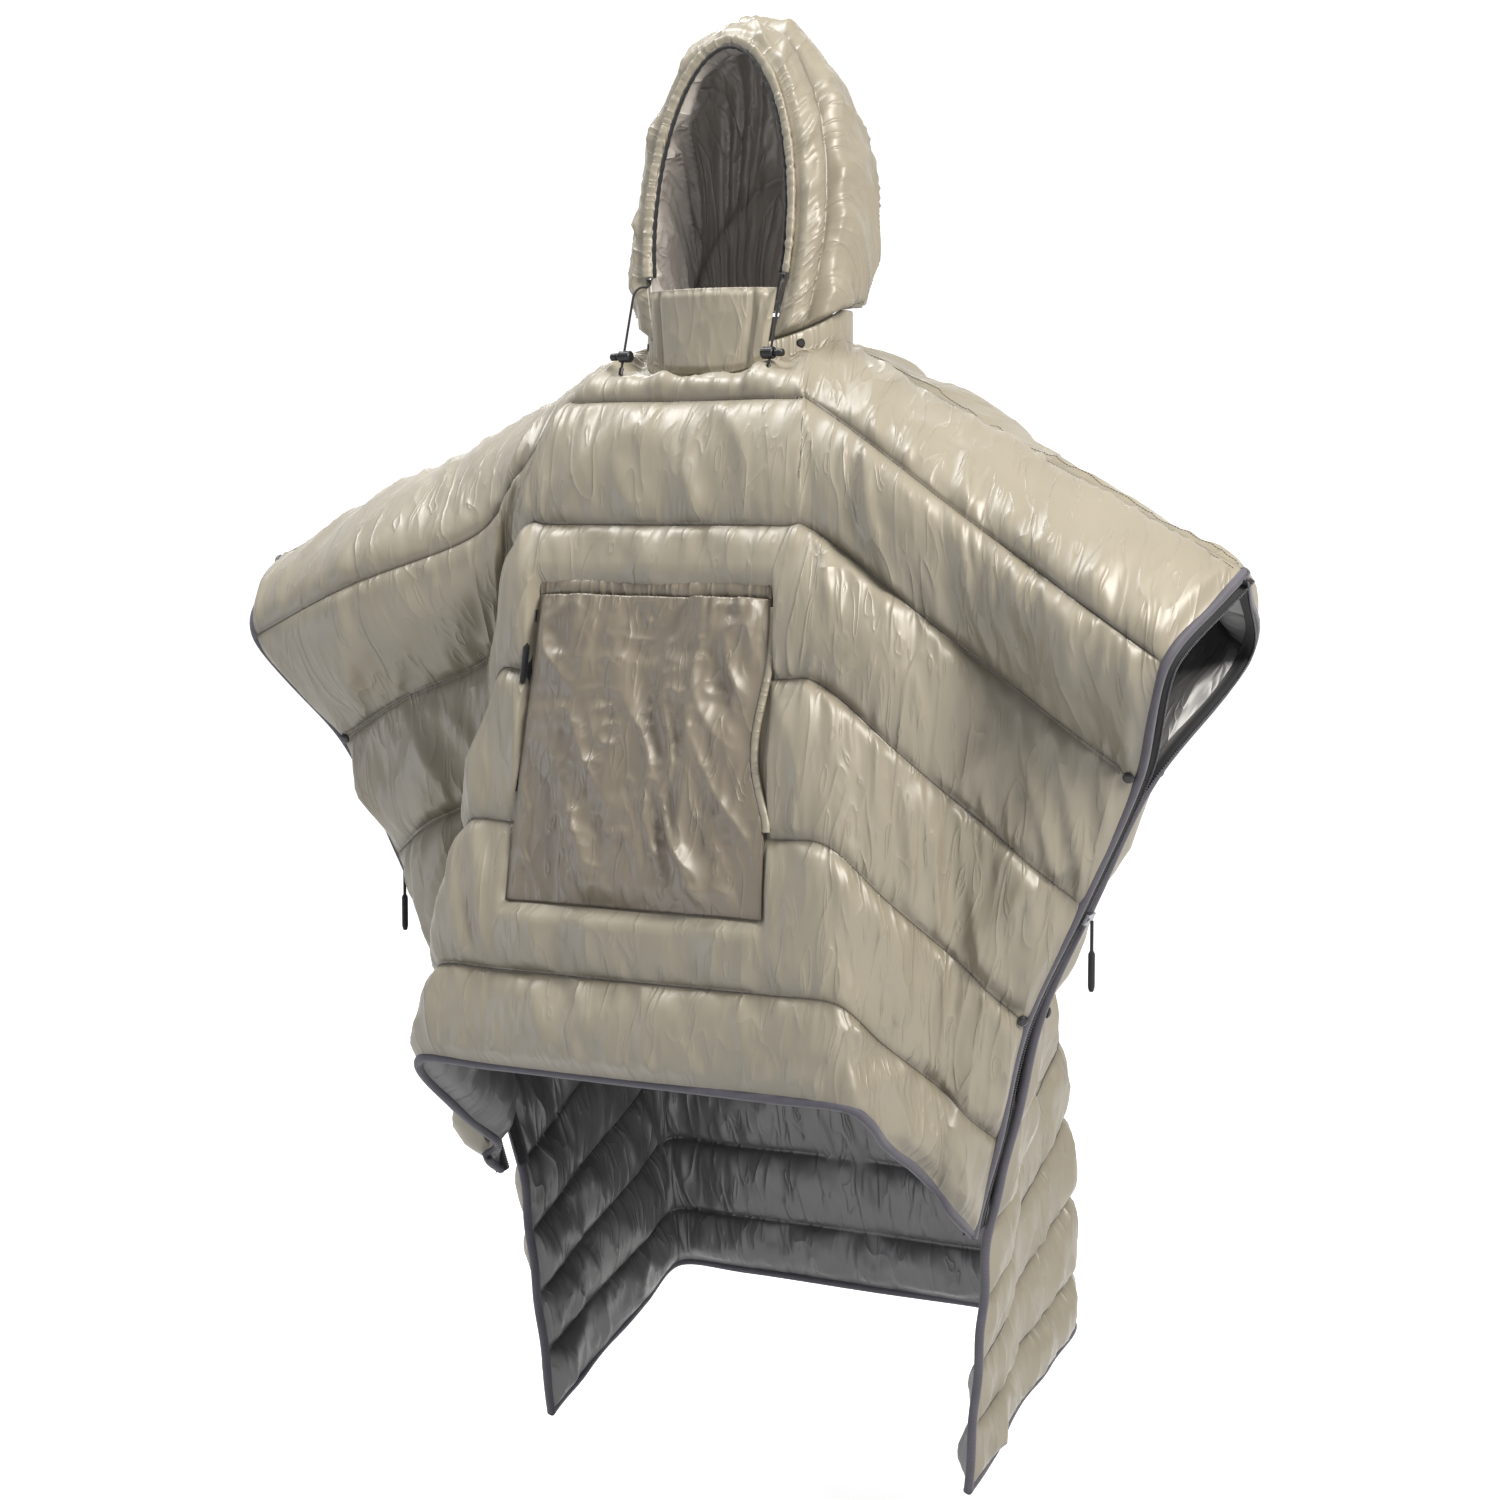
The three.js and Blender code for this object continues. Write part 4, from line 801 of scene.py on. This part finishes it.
# the cloth stands off as a sine across, fuller further down, and falls to the front at the foot
standOff = panel["clearance"] + pocket["bulge"] * np.sin(np.pi * acrossShare) ** pocket["sideCurve"] * (
    pocket["mouthShare"] + pocket["downShare"] * downShare) * (1 - downShare ** pocket["bottomCurve"])
inside = ease(toSide / 0.10) * ease(toFoot / 0.08)
# long pleats that sway, folds that slant across them, a crumple, and short gathers at the mouth
bent = (
    pocketAcross + 0.018 * np.sin(2.4 * pocketDown / 0.35)
    + 0.03 * softNoise(pocketAcross / 0.08, pocketDown / 0.09, 5)
)
pleats = creaseNoise(bent / pocket["pleatPitch"], pocketDown / pocket["pleatLength"] + 0.2, 14, 1.6) - 0.45
slanting = creaseNoise(
    (bent - pocket["slant"] * pocketDown) / pocket["slantPitch"], (pocketDown + bent) / pocket["slantLength"], 15, 1.6,
) - 0.45
crumpled = creaseNoise(pocketAcross / 0.016, pocketDown / 0.020, 16, 1.0) - 0.5
gathered = (creaseNoise(pocketAcross / 0.008, pocketDown / 0.05, 17) - 0.5) * np.exp(-pocketDown / 0.018)
relief = pocket["fold"] * (pleats + pocket["slantingShare"] * slanting) + pocket["crumple"] * crumpled
pocketOuter = (
    standOff + pocket["thickness"] + np.maximum(relief * inside, -0.5 * standOff)
    + pocket["gather"] * gathered * inside
)
# painted shade along the pocket's sides and foot, where it meets the front
pocketShade = np.clip(0.7 * (np.exp(-toSide / 0.012) + np.exp(-toFoot / 0.01)), 0, 1)
pocketCloth = slabPiece(
    "pocketCloth", pocketBase + pocketNormals * pocketOuter[..., None],
    pocketBase + pocketNormals * (pocketOuter - pocket["wall"])[..., None], pocketNylon,
    np.stack([pocketAcross, pocketDown], -1), pocketShade,
)
place(pocketCloth, "root", "pocket_cloth", "pocket_panel")


def stripOnFront(name, v, u, half, proud, rise, material, relief=None):
    # a low ridge along a line on the front: a half ellipse across, from half to half, rise high
    line = sampleField(front, front["grid"], v, u)
    normals = unit(sampleField(front, front["normals"], v, u))
    along = unit(np.gradient(line, axis=0))
    across = np.cross(along, normals)
    turn = np.linspace(0, np.pi, 13)
    arc = np.stack([half * np.cos(turn), proud + rise * np.sin(turn)], -1)
    flat = np.stack([np.linspace(-half, half, 5)[1:-1], np.full(3, proud - 0.0008)], -1)
    outline = np.repeat(np.concatenate([arc, flat])[None], len(v), 0)
    if relief is not None:
        outline[:, 1:12, 1] += relief[:, None] * np.sin(turn[1:12])
    return tubePiece(name, line, across, normals, outline, material)


# the welt over the mouth, shirred along its length, and the piping down the open side
welt = {
    "steps": 240, "row": 2.445, "half": 0.0105, "proud": 0.0006, "rise": 0.0052,
    "shirr": 0.0022, "pitch": 0.006, "shirrRow": 2.44,
}
weltU, weltV = np.linspace(-1.0, 1.0, welt["steps"]), np.full(welt["steps"], welt["row"])
shirrV = np.full(welt["steps"], welt["shirrRow"])
weltRun = lengths(sampleField(front, front["grid"], shirrV, weltU)[None], 1)[0]
shirr = welt["shirr"] * (creaseNoise(weltRun / welt["pitch"], np.zeros_like(weltRun), 23, 1.0) - 0.5)
topWelt = stripOnFront("pocketTopWelt", weltV, weltU, welt["half"], welt["proud"], welt["rise"], pocketNylon, shirr)
place(topWelt, "root", "pocket_cloth", "pocket_top_welt")

piping = {"steps": 160, "from": 2.55, "to": 3.96, "outside": 0.028, "half": 0.0048, "proud": 0.0020, "rise": 0.0042}
pipeV = np.linspace(piping["from"], piping["to"], piping["steps"])
pipe = stripOnFront(
    "pocketPipedSide", pipeV, pocketEdge(pipeV) + piping["outside"], piping["half"], piping["proud"], piping["rise"],
    shellNylon,
)
place(pipe, "root", "shell_cloth", "pocket_side_welt_left")

# the pocket zip's tape and its two rows of teeth, straight down the pocket's side as in the CAD
pocketZip = {
    "half": 0.0045, "low": -0.001, "high": 0.0004, "steps": 80, "endDepth": 0.004,
    "toothPitch": 0.0020, "tooth": (0.0022, 0.0012, 0.0010), "toothAside": 0.0007, "toothProud": 0.0007,
}
zipPoints = np.array([vertex.co for vertex in nodes["pocket_zip_tape"].data.vertices])
slideAxis = unit(np.array(joints["pocket_slide"]["axis"]))
acrossAxis = unit(-np.array(joints["pocket_pull_swing"]["axis"]))
outAxis = np.cross(slideAxis, acrossAxis)
outAxis = outAxis * -np.sign(outAxis[1])
reached = zipPoints @ slideAxis
topEnd = zipPoints[reached < reached.min() + pocketZip["endDepth"]].mean(0)
footEnd = zipPoints[reached > reached.max() - pocketZip["endDepth"]].mean(0)
zipLine = mix(topEnd, footEnd, np.linspace(0, 1, pocketZip["steps"])[:, None])
zipAcross, zipOut = (np.repeat(axis[None], pocketZip["steps"], 0) for axis in (acrossAxis, outAxis))
half, low, high = (pocketZip[key] for key in ("half", "low", "high"))
strip = [(-half, low), (half, low), (half, high), (-half, high)]
pocketTape = tubePiece("pocketZipTape", zipLine, zipAcross, zipOut, strip, zipTape)
place(pocketTape, "root", "zip", "pocket_zip_tape")
toothAt = resample(zipLine, pocketZip["toothPitch"])[0]
toothSide = np.where(np.arange(len(toothAt)) % 2 == 0, 1, -1)[:, None]
toothOrigins = toothAt + acrossAxis * pocketZip["toothAside"] * toothSide + outAxis * pocketZip["toothProud"]
toothAxes = np.stack([acrossAxis, slideAxis, outAxis]) * np.array(pocketZip["tooth"])[:, None]
toothAxes = np.repeat(toothAxes[None], len(toothAt), 0)
pocketTeeth = scatterPiece("pocketZipTeeth", boxShape, boxFaces, toothOrigins, toothAxes, zipCoil)
place(pocketTeeth, "root", "zip")
print("pocket made")

# ---- neck band, chin panel and hood ----
band = {
    "height": 0.042, "drop": 0.008, "middle": -0.0033, "half": 0.0030, "corner": 0.5, "puff": 0.0010, "puffs": 14,
}


def neckPoint(turn, outside, height):
    # on the neck's ellipse, at a turn from the front, moved outwards and up
    lowZ = np.where(np.cos(turn) > 0, neck["frontZ"], -neck["backZ"])
    return np.stack([
        (neck["halfWidth"] + outside) * np.sin(turn),
        -(neck["halfDepth"] + outside) * np.cos(turn),
        lowZ * np.cos(turn) + height,
    ], -1)


turns = np.linspace(0, 2 * np.pi, 241)[:-1]
profileTurn = np.linspace(0, 2 * np.pi, 28, endpoint=False)
bandHalf, bandMiddle = band["height"] / 2, band["height"] / 2 - band["drop"]
bandPuff = band["puff"] * creaseNoise(turns * band["puffs"], np.zeros_like(turns), 31)
# the band's section is a flat oval: sine and cosine raised to a half, so that its corners are small
sine, cosine = np.sin(profileTurn), np.cos(profileTurn)
rise = bandHalf * np.sign(sine) * np.abs(sine) ** band["corner"]
outAt = band["middle"] + band["half"] * np.sign(cosine) * np.abs(cosine) ** band["corner"]
bandPoints = neckPoint(turns[:, None], outAt[None] + bandPuff[:, None] * (cosine > 0)[None], bandMiddle + rise[None])
bandQuads = gridQuads(len(turns), len(profileTurn), True)
lastRing, ring = (len(turns) - 1) * len(profileTurn), np.arange(len(profileTurn))
bandJoin = np.stack([lastRing + ring, ring, (ring + 1) % len(ring), lastRing + (ring + 1) % len(ring)], -1)
bandUv = np.stack(np.meshgrid(turns * neck["halfWidth"], profileTurn * 0.01, indexing="ij"), -1)
bandFaces = np.concatenate([bandQuads, bandJoin])
neckCloth = makePiece("neckBandCloth", bandPoints, bandFaces, shellNylon, bandUv, np.zeros(bandPoints.shape[:2]))
place(neckCloth, "root", "shell_cloth", "neck_band")

chin = {
    "topZ": 0.056, "bottomZ": -0.042, "topTurn": math.radians(42), "bottomTurn": math.radians(36),
    "corner": 0.020, "rows": 70, "columns": 110, "seams": (-0.72, 0.72), "halfWidth": 0.08,
    "flat": 0.0030, "puff": 0.0035, "gather": 0.0030, "wrinkle": 0.0020,
}
rowShare, columnShare = np.meshgrid(
    np.linspace(0, 1, chin["rows"]), np.linspace(-1, 1, chin["columns"]), indexing="ij")
chinTurn = columnShare * mix(chin["topTurn"], chin["bottomTurn"], rowShare)
chinGrid = neckPoint(chinTurn, panel["clearance"], 0)
chinGrid[..., 2] = mix(chin["topZ"], chin["bottomZ"] + chin["corner"] * np.abs(columnShare) ** 4, rowShare)
chinNormals = gridNormals(chinGrid, -1)
chinAcross, chinDown = lengths(chinGrid, 1), lengths(chinGrid, 0)
toChinSeam = np.min([np.abs(columnShare - seam) for seam in chin["seams"]], 0) * chin["halfWidth"]
toChinEdge = np.min([chinDown, chinDown[-1:] - chinDown, chinAcross, chinAcross[:, -1:] - chinAcross], 0)
gathers = (creaseNoise(chinAcross / 0.010, chinDown / 0.05, 51) - 0.4) * np.exp(-chinDown / 0.020)
wrinkled = creaseNoise(chinAcross / 0.022, (chinDown + 0.4 * chinAcross) / 0.05, 52) - 0.45
chinOut = chin["flat"] + chin["puff"] * ease(toChinSeam / 0.008) * ease(toChinEdge / 0.010)
chinOut = chinOut + (chin["gather"] * gathers + chin["wrinkle"] * wrinkled) * ease(toChinEdge / 0.006)
# painted shade along the chin panel's two seams
chinShade = np.clip(np.exp(-toChinSeam / 0.0016) * 0.9, 0, 1)
chinCloth = slabPiece(
    "chinPanelCloth", chinGrid + chinNormals * chinOut[..., None], chinGrid, shellNylon,
    np.stack([chinAcross, chinDown], -1), chinShade,
)
place(chinCloth, "root", "shell_cloth", "chin_panel")

hood = {
    "crown": [                       # Y and Z over the head, from the rim to the nape
        (-0.046, 0.352), (0.028, 0.374), (0.112, 0.306), (0.148, 0.190), (0.136, 0.096), (0.116, 0.041),
    ],
    "rimTurn": math.radians(140), "napeTurn": math.radians(8),
    "rimArc": math.radians(126), "napeArc": math.radians(90), "arcEase": 1.3,
    "baseOut": 0.004, "baseLift": 0.003, "rows": 140, "columns": 170, "seams": (0.13, 0.56),
    "shellPuff": (61, 0.0085, 0.0095), "liningPuff": (66, 0.0060, 0.0140),   # seed, crest, creases
    "seamLevel": -0.0040, "edgeLevel": -0.0030, "pucker": 0.0050, "crumple": 0.0026,
    "bendFrom": (0, 0, 0.045), "bendTo": (0, 0, 0.20),
}
rowAt, columnAt = np.linspace(0, 1, hood["rows"]), np.linspace(-1, 1, hood["columns"])
hoodTurn = mix(hood["rimTurn"], hood["napeTurn"], rowAt)
hoodArc = mix(hood["rimArc"], hood["napeArc"], np.minimum(1, hood["arcEase"] * rowAt))
hoodBase = neckPoint(np.pi - hoodTurn, hood["baseOut"], band["height"] - band["drop"] + hood["baseLift"])
crown = smoothLine(hood["crown"], rowAt)
angle = columnAt[None] * hoodArc[:, None]
lift = (np.cos(angle) - np.cos(hoodArc)[:, None]) / (1 - np.cos(hoodArc))[:, None]
hoodGrid = np.stack([
    hoodBase[:, :1] * np.sin(angle) / np.sin(hoodArc)[:, None],
    mix(hoodBase[:, 1:2], crown[:, :1], lift),
    mix(hoodBase[:, 2:], crown[:, 1:], lift),
], -1)
hoodNormals = gridNormals(hoodGrid, 1)
hoodAcross, hoodDown = lengths(hoodGrid, 1), lengths(hoodGrid, 0)
hoodAcross = hoodAcross - hoodAcross[:, hood["columns"] // 2][:, None]


def hoodPuff(seed, crest, creased):
    # as on the quilted faces: arches between the seams, ridges across each seam, long folds over the head
    share = np.repeat(rowAt[:, None], hood["columns"], 1)
    toSeam = np.min([np.abs(share - seam) for seam in (*hood["seams"], 1.02)], 0) * hoodDown[-1].max()
    edge = np.min([hoodDown, hoodAcross - hoodAcross[:, :1], hoodAcross[:, -1:] - hoodAcross], 0)
    arch = ease(toSeam / 0.028) ** quilting["puffPower"]
    drift = softNoise(hoodAcross / 0.05, hoodDown / 0.05, seed)
    puckers = creaseNoise(hoodAcross / 0.016 + drift, hoodDown / 0.09, seed + 1)
    bent = hoodAcross + 0.5 * hoodDown + 0.03 * softNoise(hoodAcross / 0.07, hoodDown / 0.07, seed + 2)
    folds = creaseNoise(bent / 0.036, (hoodDown - hoodAcross) / 0.15, seed + 3, 1.7)
    crumple = creaseNoise(hoodAcross / 0.014 + puckers, hoodDown / 0.017, seed + 4, 1.0)
    height = mix(hood["seamLevel"], crest, arch)
    height = height + hood["pucker"] * np.exp(-toSeam / 0.035) * (puckers - 0.45) * ease(toSeam / 0.004)
    height = height + creased * (folds - 0.42) * arch + hood["crumple"] * (crumple - 0.5) * arch
    height = mix(hood["edgeLevel"], height, ease(edge / 0.012))
    # painted shade along the hood's seams
    shade = np.clip(0.7 * np.exp(-toSeam / 0.004), 0, 1)
    return np.maximum(height, quilting["middle"] + quilting["deepest"]), shade


hoodUv = np.stack([hoodAcross, hoodDown], -1)
hoodHeight, hoodShade = hoodPuff(*hood["shellPuff"])
liningHeight, liningShade = hoodPuff(*hood["liningPuff"])
middleOut = hoodGrid + hoodNormals * quilting["middle"]
middleIn = hoodGrid + hoodNormals * (quilting["middle"] - quilting["clothGap"])
hoodOuter = hoodGrid + hoodNormals * hoodHeight[..., None]
hoodInner = hoodGrid - hoodNormals * (panel["thickness"] + liningHeight)[..., None]
hoodShell = slabPiece("hoodShellCloth", hoodOuter, middleOut, shellNylon, hoodUv, hoodShade)
hoodLining = slabPiece("hoodLiningCloth", middleIn, hoodInner, hoodLiningNylon, hoodUv, liningShade)


def bendWithHood(piece, slotName, *stoodFor):
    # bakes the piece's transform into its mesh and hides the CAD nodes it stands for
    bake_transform(piece)
    if stoodFor:
        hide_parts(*stoodFor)


bendWithHood(hoodShell, "shell_cloth", "hood_shell", "hood_fill")
bendWithHood(hoodLining, "lining_cloth", "hood_lining")

# the rim's channel, gathered by the cord inside it, and the cord
channel = {
    "depth": 0.008, "half": 0.0078, "gather": 0.0016, "gatherPitch": 0.006, "step": 0.0022,
    "cordRadius": 0.0015, "bead": 0.0045, "cordOut": 0.0004, "cordIn": 0.0010,
}
rimColumns = slice(hood["columns"] // 12, hood["columns"] - hood["columns"] // 12)
rim, rimNormals = hoodGrid[0, rimColumns], hoodNormals[0, rimColumns]
rimOut = unit(np.cross(unit(np.gradient(rim, axis=0)), rimNormals))
rimOut = rimOut * np.sign(np.einsum("ij,ij->i", rimOut, rim - hoodGrid[2, rimColumns]))[:, None]
rimLine, outFine, normalFine = resample(rim, channel["step"], rimOut, rimNormals)
rimRun = lengths(rimLine[None], 1)[0]
gather = channel["gather"] * (creaseNoise(rimRun / channel["gatherPitch"], np.zeros_like(rimRun), 81, 1.0) - 0.5)
turn = np.linspace(0, 2 * np.pi, 20, endpoint=False)
outline = np.stack([
    channel["depth"] / 2 + (channel["depth"] / 2 + gather[:, None]) * np.cos(turn)[None],
    -panel["thickness"] / 2 + (channel["half"] + gather[:, None]) * np.sin(turn)[None],
], -1)
channelPiece = tubePiece("hoodRimChannel", rimLine, outFine, normalFine, outline, shellNylon)
bendWithHood(channelPiece, "binding_cloth", "hood_rim_channel", "hood_drawcord")
beads = channel["cordRadius"] * (1.25 + 0.45 * np.abs(np.sin(rimRun / channel["bead"])))
edgeCord = np.stack([
    channel["depth"] + channel["cordOut"] + beads[:, None] * np.cos(turn)[None],
    -panel["thickness"] + channel["cordIn"] + beads[:, None] * np.sin(turn)[None],
], -1)
edgePiece = tubePiece("hoodRimCord", rimLine, outFine, normalFine, edgeCord, braidedCord)
bendWithHood(edgePiece, "cord")
print("hood made")

# ---- zip pulls: a cord loop with a braided grip ----
pull = {
    "cordRadius": 0.002, "cordLength": 0.036, "gripRadius": 0.004, "gripLength": 0.044, "tip": 0.006,
    "braidPitch": 0.006, "braidDepth": 0.16,
}


def addPull(name, node, hinge, downward, slideOut):
    # a round body along a line: thin at the top, then a grip whose surface is braided by crossing spirals;
    # the pull's CAD node and its body have the same name
    run = np.linspace(0, pull["cordLength"] + pull["gripLength"], 150)
    onGrip = ease((run - pull["cordLength"] + 0.003) / 0.005)
    tipShare = np.clip((run[-1] - run) / pull["tip"], 0, 1) ** 0.5
    radius = mix(pull["cordRadius"], pull["gripRadius"] * (0.45 + 0.55 * tipShare), onGrip)
    turn = np.linspace(0, 2 * np.pi, 20, endpoint=False)
    spiral = 2 * np.pi * run[:, None] / pull["braidPitch"]
    braid = np.maximum(np.abs(np.sin(2 * turn[None] + spiral)), np.abs(np.sin(2 * turn[None] - spiral)))
    size = radius[:, None] * mix(1, braid, pull["braidDepth"])
    outline = np.stack([size * np.cos(turn)[None], size * np.sin(turn)[None]], -1)
    line = np.array(hinge) + run[:, None] * np.array(downward)
    sideways = unit(np.cross(downward, slideOut))
    first = np.repeat(sideways[None], len(run), 0)
    second = np.repeat(np.cross(downward, sideways)[None], len(run), 0)
    piece = tubePiece(name, line, first, second, outline, braidedCord)
    place(piece, node, "cord", node)


addPull("pocketPullCord", "pocket_pull", joints["pocket_pull_swing"]["pos_m"], slideAxis, outAxis)
for side in ("left", "right"):
    hinge = joints["side_pull_swing_" + side]["pos_m"]
    addPull("sidePullCord_" + side, "side_pull_" + side, hinge, np.array((0, 0, -1.0)), np.array((0, -1.0, 0)))

# ---- springs inside the cord locks ----
spring = {"radius": 0.0026, "wire": 0.0004, "turns": 4, "steps": 96, "keep": 0.36}
for side, sign in (("left", 1), ("right", -1)):
    low, high = (np.array(corner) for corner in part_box("lock_spring_" + side))
    fixed, free = ((low[0], high[0]) if sign > 0 else (high[0], low[0]))
    share = np.linspace(0, 1, spring["steps"])
    angle = 2 * np.pi * spring["turns"] * share
    radial = np.stack([np.zeros_like(angle), np.cos(angle), np.sin(angle)], -1)
    # a helix about the spring's axis, from its fixed end to its free end
    anchor = (fixed, (low[1] + high[1]) / 2, (low[2] + high[2]) / 2)
    runX = mix(fixed + sign * spring["wire"], free - sign * spring["wire"], share)
    coil = np.stack([runX, *np.zeros((2, spring["steps"]))], -1)
    coil = coil + radial * spring["radius"] + (0, anchor[1], anchor[2])
    turn = np.linspace(0, 2 * np.pi, 8, endpoint=False)
    wire = spring["wire"] * np.stack([np.cos(turn), np.sin(turn)], -1)
    second = np.repeat([[1.0, 0, 0]], spring["steps"], 0)
    piece = tubePiece("lockSpring_" + side, coil, radial, second, wire, platedZinc)
    place(piece, "lock_" + side, "metal", "lock_spring_" + side)
    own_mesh(piece)

# ---- finishes of the CAD pieces that stay ----
finishes = {
    "snap": (blackAcetal, "black_plastic"), "cord_lock": (blackAcetal, "black_plastic"),
    "lock_button": (blackAcetal, "black_plastic"),
    "slider": (platedZinc, "metal"), "cord_eyelet": (platedZinc, "metal"),
    "cord_stopper": (blackAcetal, "cord"),
}
for name, node in nodes.items():
    for word, (material, slotName) in finishes.items():
        if word in name and not node.hide_render:
            node.data.materials.clear()
            node.data.materials.append(material)
print("finishes set")

# ---- studio: a pale floor that curves up behind, and soft lights ----
studio = {
    "floorZ": -1.47, "half": 7.0, "backY": 3.2, "curve": 1.6, "wallRise": 6.0, "tones": ("f6f5f3", "f8f7f6"),
    "ambient": 0.36, "paperGlow": 0.6, "lightsAim": (0, 0, -0.5),
}
floorMaterial, floorTree = newMaterial("studioPaper")
floorPlace = addNode(floorTree, "ShaderNodeTexCoord")
paper = addNode(floorTree, "ShaderNodeTexNoise", {"Scale": 3.0}, {"Vector": (floorPlace, "Object")})
paperTone = mixedTone(floorTree, *studio["tones"], paper, "Fac")
paperShader = addNode(
    floorTree, "ShaderNodeBsdfPrincipled",
    {
        "Roughness": 0.9, "Specular IOR Level": 0.1,
        "Emission Color": fromHex("ffffff"), "Emission Strength": studio["paperGlow"],
    },
    {"Base Color": (paperTone, 2)},
)
addNode(floorTree, "ShaderNodeOutputMaterial", links={"Surface": (paperShader, "BSDF")})
bendTurn = np.linspace(0, np.pi / 2, 24)
backY, curve, half = studio["backY"], studio["curve"], studio["half"]
run = np.concatenate([[-half], backY + curve * np.sin(bendTurn), [backY + curve]])
rise = np.concatenate([[0], curve * (1 - np.cos(bendTurn)), [studio["wallRise"]]]) + studio["floorZ"]
floorPoints = np.stack([
    np.repeat([[-half, half]], len(run), 0), np.repeat(run[:, None], 2, 1), np.repeat(rise[:, None], 2, 1),
], -1)
floorMesh = bpy.data.meshes.new("studioFloor")
floorMesh.from_pydata(floorPoints.reshape(-1, 3).tolist(), [], gridQuads(len(run), 2)[:, ::-1].tolist())
floorMesh.polygons.foreach_set("use_smooth", np.ones(len(floorMesh.polygons), bool))
floorMesh.materials.append(floorMaterial)
floor = bpy.data.objects.new("studioFloor", floorMesh)
floor.rotation_euler = (0, 0, view["azimuth"])
scene.collection.objects.link(floor)
floor.visible_diffuse = False    # the paper is white, and throws no light back on the cloth

world = bpy.data.worlds.new("studioWorld")
world.use_nodes = True
world.node_tree.nodes["Background"].inputs["Color"].default_value = fromHex("fbfbfd")
world.node_tree.nodes["Background"].inputs["Strength"].default_value = studio["ambient"]
scene.world = world
lights = [
    ("keyLight", (2.6, -1.0, 1.5), 1.0, 115, "fffaf2"),      # high on the wearer's left
    ("topLight", (-1.1, -0.5, 2.4), 1.0, 62, "ffffff"),
    ("fillLight", (-2.8, -2.0, -0.8), 1.2, 12, "f4f7ff"),
    ("edgeLight", (-1.6, 2.4, 1.2), 1.2, 40, "ffffff"),
]
scene.view_settings.view_transform = "Standard"
for name, spot, size, power, tone in lights:
    data = bpy.data.lights.new(name, "AREA")
    data.energy = power
    data.size = size
    data.color = fromHex(tone)[:3]
    lamp = bpy.data.objects.new(name, data)
    lamp.location = spot
    lamp.rotation_euler = (Vector(spot) - Vector(studio["lightsAim"])).to_track_quat("Z", "Y").to_euler()
    scene.collection.objects.link(lamp)
print("studio lit")
